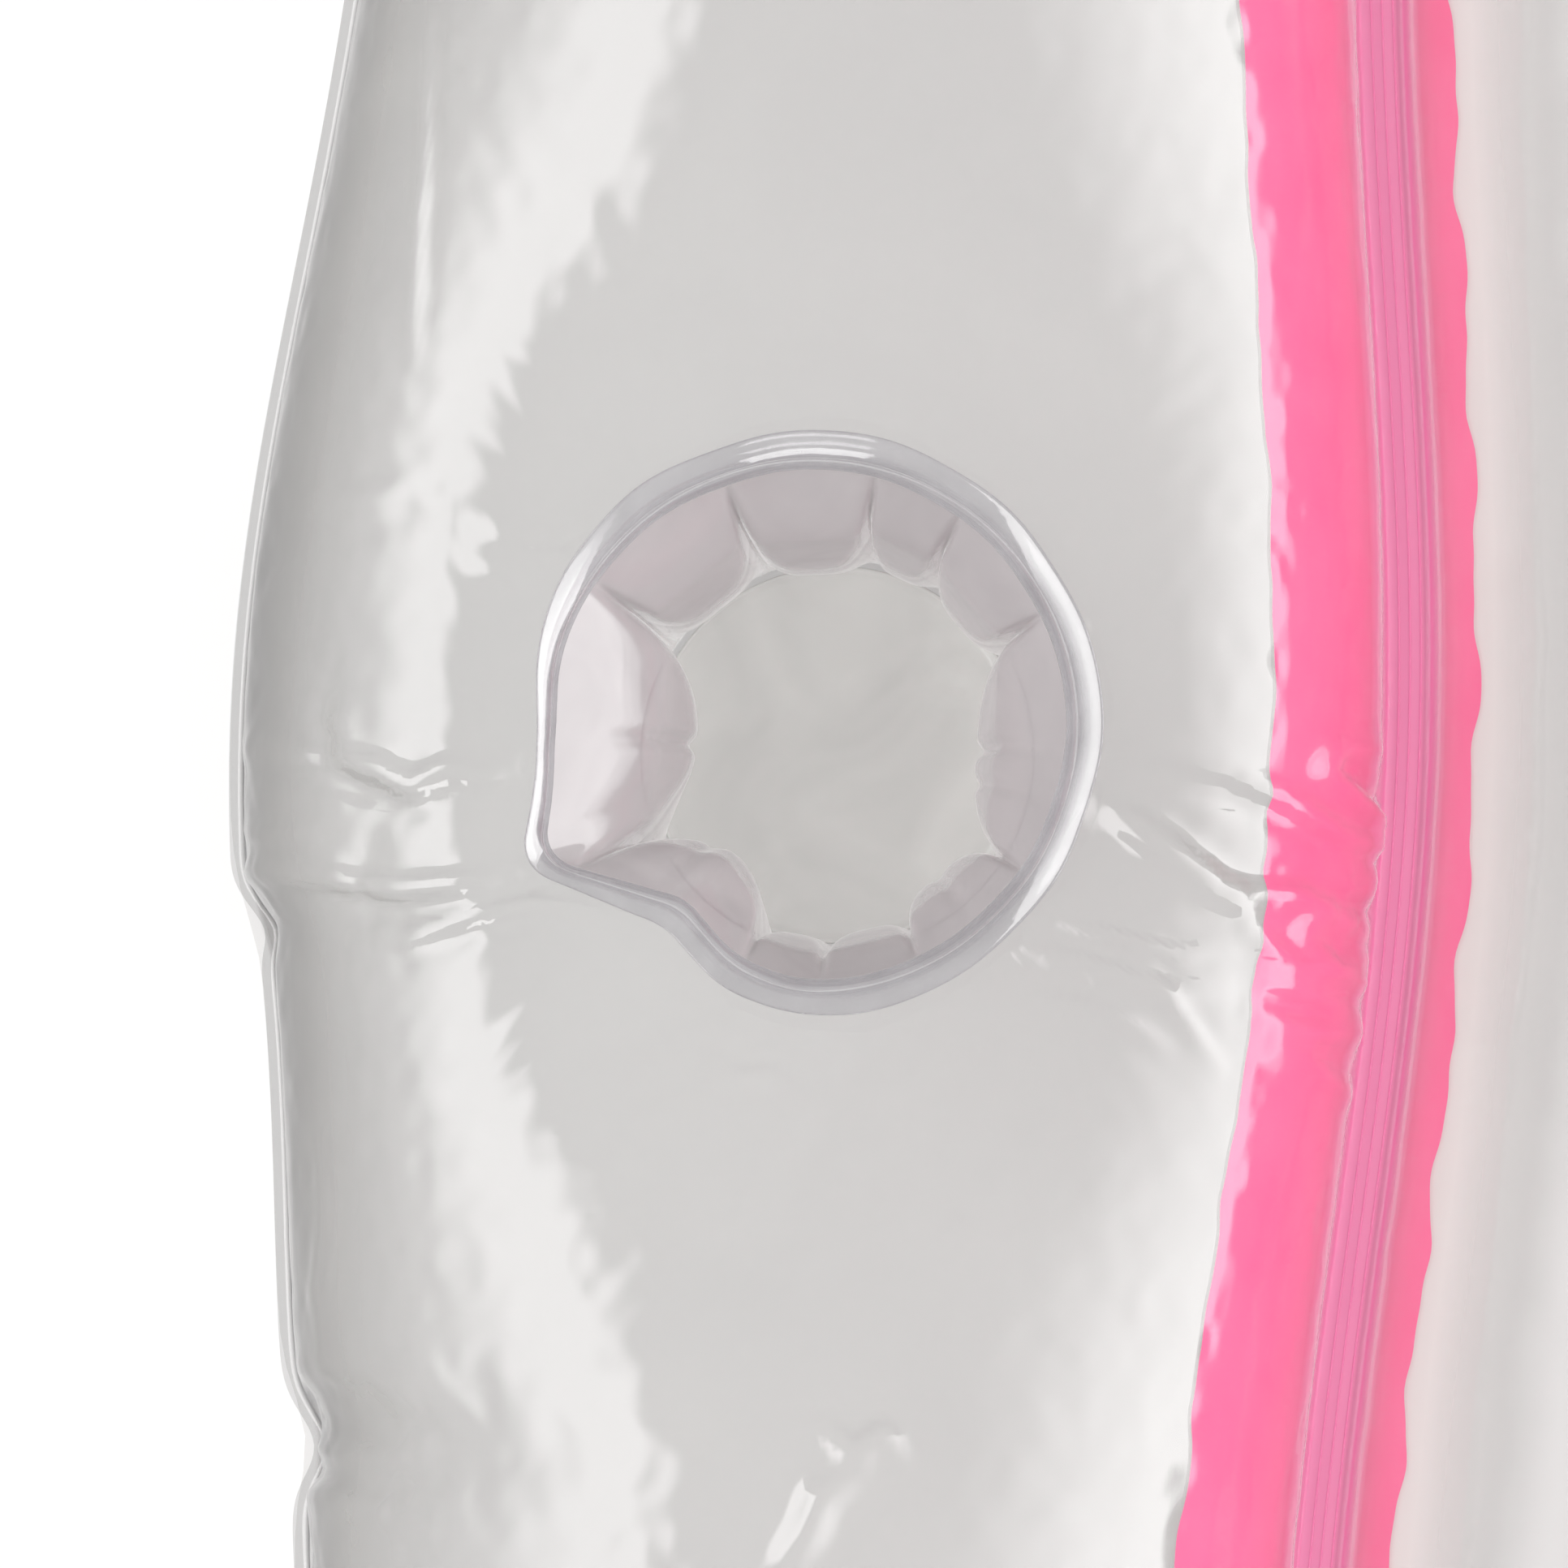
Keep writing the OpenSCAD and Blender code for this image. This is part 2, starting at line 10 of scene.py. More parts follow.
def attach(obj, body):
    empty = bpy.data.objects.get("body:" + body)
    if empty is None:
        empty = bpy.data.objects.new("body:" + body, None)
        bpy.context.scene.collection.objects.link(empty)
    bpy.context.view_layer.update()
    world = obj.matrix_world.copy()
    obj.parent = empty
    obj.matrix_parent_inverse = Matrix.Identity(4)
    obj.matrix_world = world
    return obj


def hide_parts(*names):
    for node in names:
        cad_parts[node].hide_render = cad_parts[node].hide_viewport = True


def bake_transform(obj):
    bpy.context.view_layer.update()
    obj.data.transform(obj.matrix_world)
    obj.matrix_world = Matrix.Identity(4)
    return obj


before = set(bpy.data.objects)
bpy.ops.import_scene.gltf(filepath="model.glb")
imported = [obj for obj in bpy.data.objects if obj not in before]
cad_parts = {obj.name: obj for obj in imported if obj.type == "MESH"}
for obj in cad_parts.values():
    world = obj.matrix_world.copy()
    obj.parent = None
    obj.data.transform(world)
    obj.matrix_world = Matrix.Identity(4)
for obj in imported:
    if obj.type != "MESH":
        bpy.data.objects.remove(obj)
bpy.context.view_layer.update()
scene = bpy.context.scene

# Sizes in millimetres, as drawn for the part; x is counted from the middle of the box
MM = 0.001
SHIFT = 8.5                 # middle line of the mat
SEAM = 61.0                 # height of the weld plane
FILM = 0.4
WELD = 10.0                 # width of a weld between two tubes
SIDE_MARGIN = 3.0
END_MARGIN = 12.0
TUBES = 4
TUBE_W = 112.0
TUBE_RISE = 52.0
BED_HALF = 239.0
RAIL_INNER = 249.0          # from the middle line to a rail's inner weld
RAIL_OUTER = 413.0          # and to its outer one
RAIL_MIDDLE = (RAIL_INNER + RAIL_OUTER) / 2
RAIL_RISE = 76.0
FLOOR_DROP = 62.0           # depth of a free tube below the weld plane
OFF_FLOOR = 0.2             # height of the lower film where it is pressed flat
BED_LEN = 1480.0
BED_Y = -157.6
END_ROUND = 85.0            # length over which a tube rises from its end weld
WELD_STOP = 118.0           # distance from an end where the welds between the bed's tubes stop
HEADER = 0.88               # rise of the channel along an end, as a share of a tube's
FOOT = BED_Y - BED_LEN / 2
HEAD = BED_Y + BED_LEN / 2
FOLD_Y = 595.0              # line that the pillow folds about
FOLD_GAP = 0.6
PILLOW_NEAR = 607.6
PILLOW_FAR = 897.6
PILLOW_HALF = 404.0
PILLOW_RISE = 84.0
PILLOW_ROUND = 150.0
DRAW_IN = 10.0              # how far the pillow's far edge is drawn in at its middle
CUP = np.array([-324.75, 150.0])
CUP_Z = 110.3               # height of the film round the cup
CUP_RISE = CUP_Z - SEAM - FILM
CUP_SPREAD = 110.6          # reach along the rail of the bulge beside the cup
BULGE_OUT = 20.5            # a little past the solid, where the blown film swells
BULGE_IN = 12.5
CUP_SQUARE = 1.2            # how much squarer the rail's section is beside the cup
CUP_DROP = 3.0              # and how much deeper it hangs
TIE_REACH = 27.0            # how far from the rim the film is held near the rim's height
TIE_EDGE = 30.0             # and the width beside a weld over which that fades
RIM_R = 45.0                # radius of the cup's mouth
FILM_EDGE = 1.2             # how far outside the mouth the rail's film ends
FLARE_R = 50.0
RIM_UP = 5.5
RIM_DOWN = 5.0
BASE_R = 35.0
BASE_Z = 1.3
WAVE_R = 31.0               # radius inside which the base's sheet is wavy
WAVE_LIFT = 0.55
WAVE_LEN = 6.5              # length of a wave for each radian
WAVE_SLANT = 0.05
WAVE_BEND = 1.1             # how far the waves snake, in radians
BEND_LEN = 17.0
VALVES = {      # places of the valves
    "left_rail": (-322.5, -699.6),
    "right_rail": (339.5, -699.6),
    "bed": (191.5, -699.6),
    "pillow": (208.5, 748.825),
}
NECK_HOLE = 6.6

# Creases of the left rail's outer weld, with places along the rail counted from the cup
CREASE_IN = 4.2             # how far the weld stays in over the length below the cup
CREASE_FROM = -26.0
CREASE_RUN = 12.0           # length over which it goes in
CREASE_END = -118.0
CREASE_FADE = 70.0          # length over which it comes out again
NOTCHES = ((5.0, -126.0, 7.0), (1.6, -37.0, 3.5))       # depth, place, half width

# Spare film, as shares of what the welds hold, with the reach over which it fades
RAIL_SPARE = 0.055          # across an end of a rail
BED_SPARE = 0.05            # and of the bed
END_SPARE_REACH = 38.0
FOOT_SPARE = 0.055          # along the rail from the cup towards the foot
HEAD_SPARE = 0.03           # and towards the pillow
CUP_SPARE_REACH = 75.0
NOTCH_SPARE = 5.0           # length along the outer weld, gathered at its large notch
NOTCH_FROM = -116.0         # place where that starts, counted from the cup
NOTCH_RUN = 20.0
NOTCH_REACH = 28.0          # and how far it goes into the film
LONG_SPARE = 0.035          # along the pillow's long edges
SIDE_SPARE = 0.05           # and along its short ones
PILLOW_SPARE_REACH = 40.0

START_ROUGH = 0.12          # unevenness that lets a film start to pucker
START_FREE = 3.0            # height above the weld plane from which it has that
rng = np.random.default_rng(7)


# Shapes of the blown film

def dome(q, n=2.0):
    """Rise of a blown film as a share, from its weld at 0 to its crown at 1."""
    q = np.clip(q, 0.0, 1.0)
    return (1.0 - (1.0 - q) ** n) ** (1.0 / n)


def ease(q):
    """A smooth step from 0 to 1."""
    q = np.clip(q, 0.0, 1.0)
    return q * q * (3.0 - 2.0 * q)


def bell(q):
    """A smooth hump, 1 at its middle."""
    return np.exp(-q ** 2)


def tube(place, low, high, n=2.0):
    """Rise of a blown tube as a share, between its welds at low and high."""
    half = (high - low) / 2
    return dome((half - np.abs(place - (low + high) / 2)) / half, n)


def cup_pull(y):
    """How far the cup holder spreads its rail; 1 beside the cup."""
    return bell((y - CUP[1]) / CUP_SPREAD)


def end_d(y):
    """Distance from the nearer end weld of the rails and the bed."""
    return BED_LEN / 2 - np.abs(y - BED_Y)


def end_dome(y):
    """Share of the full rise near the ends."""
    return dome(end_d(y) / END_ROUND)


def weld_creases(y):
    """Where the outer weld of the left rail has folded in, towards the foot from the cup."""
    dy = y - CUP[1]
    step = CREASE_IN * ease((CREASE_FROM - dy) / CREASE_RUN) * ease((dy - CREASE_END) / CREASE_FADE)
    return step + sum(depth * bell((dy - place) / half) for depth, place, half in NOTCHES)


def rail_edges(side, y):
    """Both edges of a rail between its welds, in order of x."""
    y = np.asarray(y, float)
    if side < 0:
        pull = cup_pull(y)
        low = SHIFT - RAIL_OUTER - BULGE_OUT * pull + weld_creases(y)
        return low, SHIFT - RAIL_INNER + BULGE_IN * pull
    return SHIFT + RAIL_INNER + 0 * y, SHIFT + RAIL_OUTER + 0 * y


def rail_section(side, x, y):
    """Rise of a rail's film as a share of its crown."""
    pull = cup_pull(y) if side < 0 else 0.0
    return tube(x, *rail_edges(side, y), 2 + CUP_SQUARE * pull) * end_dome(y)


def rail_rise(side, x, y):
    """Height of a rail's upper film over the weld plane; the cup's rim holds the left one down."""
    if side > 0:
        return RAIL_RISE * rail_section(side, x, y)
    pull = cup_pull(y)
    rise = (RAIL_RISE + (CUP_RISE - RAIL_RISE) * pull) * rail_section(side, x, y)
    low, high = rail_edges(side, y)
    from_weld = np.minimum(x - low, high - x)
    from_rim = np.maximum(np.hypot(x - CUP[0], y - CUP[1]) - FLARE_R, 0.0)
    tied = bell(from_rim / TIE_REACH) * ease(from_weld / TIE_EDGE)
    return rise + (CUP_RISE - rise) * tied


def rail_fall(side, x, y):
    """Depth of a rail's lower film, before the floor presses it flat."""
    pull = cup_pull(y) if side < 0 else 0.0
    return (FLOOR_DROP + CUP_DROP * pull) * rail_section(side, x, y)


def tube_edges(k, y):
    """Both edges of a bed tube; the cup's bulge pushes the first one in."""
    low = SHIFT - BED_HALF + k * (TUBE_W + WELD) + 0 * np.asarray(y, float)
    high = low + TUBE_W
    return (low + BULGE_IN * cup_pull(y) if k == 0 else low), high


def bed_section(x, y):
    """The four tubes side by side, open to a channel along both ends."""
    best = np.zeros(np.broadcast(x, y).shape)
    channel = HEADER * ease((WELD_STOP - end_d(y)) / (WELD_STOP / 2))
    for k in range(TUBES):
        low, high = tube_edges(k, y)
        share = tube(x, low, high)
        left_half = x < (low + high) / 2
        inside = ~(((k == 0) & left_half) | ((k == TUBES - 1) & ~left_half))
        near = (x >= low - WELD / 2) & (x <= high + WELD / 2)
        share = np.where(inside & near, np.maximum(share, np.minimum(channel, HEADER)), share)
        best = np.maximum(best, np.where(near, share, 0.0))
    return best * end_dome(y)


def pillow_edge(x):
    """Far edge of the pillow's chamber."""
    return PILLOW_FAR - DRAW_IN * (1 - ((x - SHIFT) / PILLOW_HALF) ** 2)


def pillow_section(x, y):
    """Rise of the pillow's film as a share of its crown."""
    along_x = dome((PILLOW_HALF - np.abs(x - SHIFT)) / PILLOW_ROUND)
    return along_x * tube(y, PILLOW_NEAR, pillow_edge(x))


# Cup holder: its rim has been bent out of round on the side away from the bed, and the air
# in the rail pushes its wall into lobes; angles count from +X towards the pillow

RIM_BENDS = (   # angle, how far the rim stands out there
    (165, 0.0), (180, -1.0), (195, 0.7), (203, 3.3), (208.5, 6.6), (214, 2.0),
    (224, -3.5), (236, -7.4), (245, -5.4), (254, -2.5), (268, 0.0),
)
BEND_BLUR = (-4, -2, 0, 2, 4)       # degrees over which the bends are rounded off
LOBES = (   # from, to, how far the lobe's face stays from the middle of the cup
    (-32.0, 28.0, 27.5), (28.0, 57.0, 31.5), (57.0, 78.0, 32.0), (78.0, 112.0, 29.5),
    (112.0, 149.0, 30.0), (149.0, 213.0, 22.5), (213.0, 256.0, 28.5), (256.0, 274.0, 35.5),
    (274.0, 297.0, 35.0), (297.0, 328.0, 32.0),
)
LOBE_CREASES = (    # angle, share of the lobe that the crease takes back, half width in degrees
    (185.0, 0.07, 3.0), (-3.0, 0.10, 2.5), (-15.0, 0.07, 2.2), (312.0, 0.08, 2.6), (228.0, 0.06, 3.0),
)
LOBE_WALL = 41.8            # radius of the plain wall where the lobes stand out most
LOBE_SQUARE = 14.0          # how flat a lobe's face is under the rim
LOBE_ROUND = 4.0            # and lower down
LOBE_FROM = 0.1             # depth, as a share of the cup's, where the lobes begin to draw apart
LOBE_RUN = 0.3              # and over which they do
LOBE_SIDES = 0.4            # how steeply a lobe's sides fall
LOBE_TURN = 40.0            # degrees from its middle over which its face stays flat
SWELL = (   # depth as a share of the cup's, share of its lobe that the wall stands out there
    (0.0, 0.0), (0.03, 0.22), (0.06, 0.43), (0.09, 0.62), (0.12, 0.77), (0.14, 0.845), (0.155, 0.87),
    (0.20, 0.91), (0.27, 0.97), (0.34, 1.0), (0.44, 0.95), (0.60, 0.74), (0.80, 0.36), (0.92, 0.12),
    (1.0, 0.0),
)
VALLEY = 4.0                # least depth of the wall where two lobes meet


def turn_to(angle, target):
    """Degrees from target to angle, the short way round."""
    return (np.degrees(angle) - target + 180.0) % 360.0 - 180.0


def rim_bend(angle):
    """How far the rim stands out from its round, in millimetres, with its corners rounded off."""
    at, out = np.array(RIM_BENDS).T
    turn = np.degrees(angle) % 360
    return sum(np.interp(turn + off, at, out) for off in BEND_BLUR) / len(BEND_BLUR)


def lobe_depth(angle, depth):
    """How far the wall stands into the cup where its lobes are fullest: flat faces that press
    on each other under the rim and draw apart, with rounder sides, lower down."""
    square = LOBE_SQUARE - (LOBE_SQUARE - LOBE_ROUND) * ease((depth - LOBE_FROM) / LOBE_RUN)
    total = np.full_like(angle, VALLEY)
    for start, stop, face in LOBES:
        turn = turn_to(angle, (start + stop) / 2)
        side = np.clip(1 - np.abs(turn / ((stop - start) / 2)) ** square, 0, 1)
        deep = LOBE_WALL - face / np.cos(np.radians(np.clip(turn, -LOBE_TURN, LOBE_TURN)))
        total = np.maximum(total, deep * side ** LOBE_SIDES)
    for at, share, width in LOBE_CREASES:
        total = total * (1 - share * bell(turn_to(angle, at) / width))
    return total


# Folds in the film round the cup: height, width and a line of places counted from the cup
FOLDS = (
    (2.0, 2.4, ((-50.5, -8.5), (-55, -11), (-62, -10), (-68, -13), (-74, -10), (-84, -8.5), (-98, -6))),
    (-1.6, 2.6, ((-83, 4), (-85.5, -2), (-83, -9), (-77, -14), (-69, -17))),
    (2.4, 2.2, ((-50, -27), (-56, -29), (-69, -30.5), (-80, -29), (-91, -27.5), (-98, -27.5))),
    (1.3, 2.0, ((-34, -34), (-46, -32.5), (-58, -35), (-68, -39), (-76, -38))),
    (1.0, 1.8, ((-86, -21), (-93, -22), (-99, -20))),
    (1.1, 2.4, ((-40, 30.5), (-48, 30), (-57, 31.5))),
    (0.9, 2.2, ((-46, 25), (-52, 24.5), (-58, 26))),
    (1.0, 3.0, ((-64, 36), (-70, 38), (-80, 36), (-90, 37))),
    (2.3, 3.2, ((50, -12), (56, -15), (66, -22), (79, -31))),
    (-1.2, 2.8, ((52, -4.5), (62, -7), (79, -11.5))),
    (1.3, 2.2, ((39, -38), (48, -39), (60, -43), (72, -42))),
    (1.2, 1.6, ((44, -33), (54, -34.5), (64, -37), (72, -35))),
    (1.1, 1.6, ((42, -46), (52, -47), (62, -52))),
    (1.0, 1.5, ((50, -43), (58, -46.5), (66, -44.5))),
    (0.9, 1.5, ((58, -38), (66, -48), (72, -56))),
    (2.1, 2.0, ((96, 1), (90, 0), (88, -4), (93, -8), (98, -12), (97, -16), (91, -15), (83, -10), (75, -7))),
    (1.5, 2.0, ((89, -18), (96, -20), (95, -24), (89, -22))),
    (2.0, 2.4, ((75, -25), (85, -26), (95, -30))),
    (1.7, 2.0, ((88, -29), (85, -33), (91, -37), (98, -35))),
    (2.0, 2.2, ((76, -33), (84, -38), (97, -40))),
    (1.6, 2.0, ((78, -40), (88, -43), (96, -46))),
    (1.7, 2.2, ((77, -46), (86, -49), (97, -48))),
    (1.3, 2.2, ((79, -50), (88, -55), (95, -60))),
    (2.2, 3.2, ((-92, -126), (-84, -125.5), (-74, -128), (-62, -127))),
    (1.3, 2.8, ((-88, -134), (-78, -135), (-66, -138))),
    (-1.2, 3.0, ((-90, -118), (-80, -117), (-70, -119))),
    (0.4, 1.6, ((-13, -58), (-9, -61), (-4, -60), (0, -64), (2, -66))),
    (0.3, 1.8, ((-31, -72), (-27, -74), (-25, -76))),
    (0.4, 2.0, ((26, -86), (30, -85), (34, -88))),
    (0.6, 1.6, ((-71, 123), (-70.5, 95), (-71, 60))),
    (0.7, 1.6, ((-83, -68), (-81, -85), (-82, -100), (-80, -114))),
    (1.5, 2.6, ((7, -120), (13, -124), (18, -121), (21, -126))),
    (1.9, 3.2, ((14, -127), (8, -132), (6, -138), (1, -145))),
)
FOLD_REACH = 5.0            # widths beyond which a fold is not felt
FOLD_END = 0.03             # share of a fold's length at either end over which it fades no further
DIP = 0.5                   # depth of the dip beside the crest, as a share of its height
DIP_AT = 1.7                # and how many widths from it
DIP_REACH = 3.0
WELD_HOLD = 8.0             # height above a weld over which the folds grow to their full size
RIM_HOLD = 1.5              # distance from the rim within which there are none
RIM_FREE = 5.0              # and over which they grow beyond it


def fold_lift(x, y):
    """How far the folds stand out of the film; each has a crest and a dip beside it."""
    lift = np.zeros(len(x))
    for height, width, line in FOLDS:
        line = np.array(line, float) + CUP
        low = line.min(0) - FOLD_REACH * width
        high = line.max(0) + FOLD_REACH * width
        near = np.flatnonzero((x > low[0]) & (x < high[0]) & (y > low[1]) & (y < high[1]))
        if not len(near):
            continue
        lengths = np.linalg.norm(np.diff(line, axis=0), axis=1)
        best = np.full(len(near), 1e9)
        aside = np.zeros(len(near))
        share = np.zeros(len(near))
        for i, (a, b) in enumerate(zip(line, line[1:])):
            run = b - a
            off = np.column_stack([x[near], y[near]]) - a
            t = off @ run / lengths[i] ** 2
            held = np.clip(t, 0, 1)
            gap = np.linalg.norm(off - held[:, None] * run, axis=1)
            closer = gap < best
            best[closer] = gap[closer]
            aside[closer] = np.where(run[0] * off[:, 1] - run[1] * off[:, 0] < 0, -gap, gap)[closer]
            share[closer] = ((lengths[:i].sum() + held * lengths[i]) / lengths.sum())[closer]
        fade = np.sqrt(np.clip(np.sin(math.pi * np.clip(share, FOLD_END, 1 - FOLD_END)), 0, 1))
        dip = bell((aside - DIP_AT * width) / width) * bell(best / (DIP_REACH * width))
        lift[near] += height * fade * (bell(best / width) - DIP * dip)
    return lift


# Meshes

def new_mesh(name, points, faces, edges=()):
    """An object in the scene, from points in millimetres."""
    mesh = bpy.data.meshes.new(name)
    mesh.from_pydata((np.asarray(points) * MM).tolist(), edges, faces)
    made = bpy.data.objects.new(name, mesh)
    scene.collection.objects.link(made)
    return made


def settled(made):
    """An object as its modifiers leave it."""
    return made.evaluated_get(bpy.context.evaluated_depsgraph_get())


def mesh_values(items, name, kind, wide):
    """What all vertices or loops of a mesh have under a name, in rows of a width."""
    values = np.empty(len(items) * wide, kind)
    items.foreach_get(name, values)
    return values.reshape(-1, wide)


def smooth_faces(mesh):
    """Shades a mesh smoothly."""
    mesh.polygons.foreach_set("use_smooth", np.ones(len(mesh.polygons), bool))


def subdivide(made, rounds):
    """Rounds of subdivision that keep the corners of an open edge."""
    smooth = made.modifiers.new("smooth", "SUBSURF")
    smooth.levels = smooth.render_levels = rounds
    smooth.boundary_smooth = "PRESERVE_CORNERS"


def spaced(stops):
    """Places along a line from (place, step) pairs; the last step isn't used."""
    line = [stops[0][0]]
    for (start, step), (stop, _) in zip(stops, stops[1:]):
        count = max(1, round((stop - start) / step))
        line += [start + (stop - start) * k / count for k in range(1, count + 1)]
    return np.array(line)


CUP_RINGS = (66.0, 10)      # reach of the rings of faces round the cup, and their number
NECK_RINGS = (22.0, 5)      # and round a valve's neck
RING_CROWD = 1.2            # how much closer the rings lie towards an opening


def film_quads(x, y, rise, openings=()):
    """Quads over rows of places, at a height of rise above the weld plane. An opening is its
    middle, its edge for an angle, the reach of the rings round it and their number."""
    rows, cols = x.shape
    taken = np.zeros((rows, cols), bool)
    filled = np.ones((rows - 1, cols - 1), bool)
    blocks = []
    for middle, edge, reach, rings in openings:
        nearest = np.hypot(x - middle[0], y - middle[1]).argmin()
        row, col = np.unravel_index(nearest, x.shape)
        i0, i1 = (np.abs(y[:, col] - middle[1] - s * reach).argmin() for s in (-1, 1))
        j0, j1 = (np.abs(x[row] - middle[0] - s * reach).argmin() for s in (-1, 1))
        taken[i0 + 1:i1, j0 + 1:j1] = True
        filled[i0:i1, j0:j1] = False
        blocks.append((i0, i1, j0, j1))
    number = np.full((rows, cols), -1)
    number[~taken] = np.arange((~taken).sum())
    points = np.column_stack([x[~taken], y[~taken]])
    corners = (number[:-1, :-1], number[:-1, 1:], number[1:, 1:], number[1:, :-1])
    faces = np.stack([c[filled] for c in corners], 1).tolist()
    rims = []
    for (middle, edge, reach, rings), (i0, i1, j0, j1) in zip(openings, blocks):
        loop = np.concatenate([number[i0, j0:j1], number[i0:i1, j1],
                               number[i1, j1:j0:-1], number[i1:i0:-1, j0]])
        outer = points[loop]
        angle = np.arctan2(outer[:, 1] - middle[1], outer[:, 0] - middle[0])
        hole = middle + edge(angle)[:, None] * np.column_stack([np.cos(angle), np.sin(angle)])
        for k in range(rings - 1, -1, -1):
            ring = np.arange(len(points), len(points) + len(loop))
            points = np.vstack([points, hole + (outer - hole) * (k / rings) ** RING_CROWD])
            faces += np.column_stack([loop, np.roll(loop, -1), np.roll(ring, -1), ring]).tolist()
            loop = ring
        rims.append(loop)
    height = SEAM + FILM + rise(points[:, 0], points[:, 1])
    return np.column_stack([points, height]), faces, number, rims


def blow_up(points, faces, held, cut, pressure=3.0, cap=7.0, frames=20):
    """Lets a film cut to the shape of cut settle under the air in it, held at its welds."""
    film = new_mesh("blown", points, faces)
    welded = film.vertex_groups.new(name="welded")
    welded.add([int(v) for v in held], 1.0, "REPLACE")
    film.shape_key_add(name="start")
    flat = film.shape_key_add(name="cut")
    flat.data.foreach_set("co", (cut * MM).ravel())
    cloth = film.modifiers.new("air", "CLOTH")
    settings = cloth.settings
    settings.rest_shape_key = flat
    settings.vertex_group_mass = "welded"
    settings.quality = 4
    settings.mass = 0.02
    settings.tension_stiffness = 40
    settings.compression_stiffness = 40
    settings.shear_stiffness = 20
    settings.bending_stiffness = 0.02
    settings.bending_damping = 0.5
    settings.air_damping = 2
    settings.use_pressure = True
    settings.uniform_pressure_force = pressure
    settings.effector_weights.gravity = 0
    cloth.collision_settings.use_collision = False
    cloth.point_cache.frame_end = frames
    for step in range(1, frames + 1):
        scene.frame_set(step)
    blown = mesh_values(settled(film).data.vertices, "co", np.float32, 3)
    bpy.data.objects.remove(film)
    scene.frame_set(1)
    moved = blown / MM - points
    far = np.linalg.norm(moved, axis=1)
    return points + moved * np.minimum(1.0, cap / np.maximum(far, 1e-6))[:, None]


def finer(points, faces):
    """One round of subdivision, as points and faces."""
    coarse = new_mesh("finer", points, faces)
    subdivide(coarse, 1)
    fine = settled(coarse).data
    places = mesh_values(fine.vertices, "co", np.float32, 3)
    corners = mesh_values(fine.loops, "vertex_index", np.int32, 1)
    bpy.data.objects.remove(coarse)
    return places.astype(float) / MM, corners.reshape(-1, 4)


def outward(points, faces):
    """Unit normals at the points of a mesh of quads."""
    faces = np.asarray(faces)
    flat = np.cross(points[faces[:, 2]] - points[faces[:, 0]], points[faces[:, 3]] - points[faces[:, 1]])
    total = np.zeros_like(points)
    for corner in range(4):
        np.add.at(total, faces[:, corner], flat)
    return total / np.maximum(np.linalg.norm(total, axis=1, keepdims=True), 1e-9)


def fold(points, faces):
    """Raises the folds round the cup out of a film."""
    off = points[:, :2] - CUP
    from_rim = np.hypot(*off.T) - RIM_R - rim_bend(np.arctan2(off[:, 1], off[:, 0]))
    free = ease((points[:, 2] - SEAM - FILM) / WELD_HOLD) * ease((from_rim - RIM_HOLD) / RIM_FREE)
    return points + outward(points, faces) * (fold_lift(points[:, 0], points[:, 1]) * free)[:, None]


def piece(name, points, faces, finish, body, replaces=(), rounds=0, uv=None):
    """A smooth mesh in its place, riding on a body."""
    made = new_mesh(name, points, faces)
    mesh = made.data
    smooth_faces(mesh)
    if uv is not None:
        corner = mesh_values(mesh.loops, "vertex_index", np.int32, 1)
        mesh.uv_layers.new(name="along").data.foreach_set("uv", uv[corner].ravel())
    mesh.materials.append(finish)
    if rounds:
        subdivide(made, rounds)
    if body:
        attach(made, body)
    if replaces:
        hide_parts(*replaces)
    return made


def grid_faces(rows, cols, closed=False):
    """Quads of a grid numbered row by row; closed joins the last column to the first."""
    number = np.arange(rows * cols).reshape(rows, cols)
    after = np.roll(number, -1, 1) if closed else number[:, 1:]
    here = number if closed else number[:, :-1]
    return np.stack([here[:-1], after[:-1], after[1:], here[1:]], -1).reshape(-1, 4).tolist()


# Materials

def srgb(code):
    """Linear colour of an sRGB hex code."""
    parts = [int(code[i:i + 2], 16) / 255 for i in (1, 3, 5)]
    return [c / 12.92 if c <= 0.04045 else ((c + 0.055) / 1.055) ** 2.4 for c in parts] + [1.0]


def add(tree, kind, inputs=None, **settings):
    """A node with its settings; inputs are values, or sockets to link from."""
    node = tree.nodes.new(kind)
    for name, value in settings.items():
        setattr(node, name, value)
    for name, value in (inputs or {}).items():
        if isinstance(value, bpy.types.NodeSocket):
            tree.links.new(value, node.inputs[name])
        else:
            node.inputs[name].default_value = value
    return node


def finish_tree(name):
    """An empty material and its tree of nodes."""
    made = bpy.data.materials.new(name)
    made.use_nodes = True
    made.node_tree.nodes.clear()
    return made, made.node_tree


def maths(tree, operation, *values):
    """The result of a Math node, from values or sockets."""
    return add(tree, "ShaderNodeMath", dict(enumerate(values)), operation=operation).outputs["Value"]


def ramp(tree, value, span=(0.0, 1.0), levels=(0.0, 1.0), kind="LINEAR"):
    """What runs from one level to the other while value runs over a span."""
    return add(tree, "ShaderNodeMapRange", {
        "Value": value, "From Min": span[0], "From Max": span[1], "To Min": levels[0],
        "To Max": levels[1]}, interpolation_type=kind).outputs["Result"]


def tint(tree, share, first, second):
    """A colour between two; the first is a hex code or a socket."""
    if isinstance(first, str):
        first = srgb(first)
    return add(tree, "ShaderNodeMix", {"Factor": share, "A": first, "B": srgb(second)},
               data_type="RGBA").outputs["Result"]


def noise(tree, place, size_mm, detail=2.0, distortion=0.0):
    """Noise whose clouds are of a size in millimetres."""
    return add(tree, "ShaderNodeTexNoise", {"Vector": place, "Scale": 1000 / size_mm, "Detail": detail,
                                            "Distortion": distortion}).outputs["Fac"]


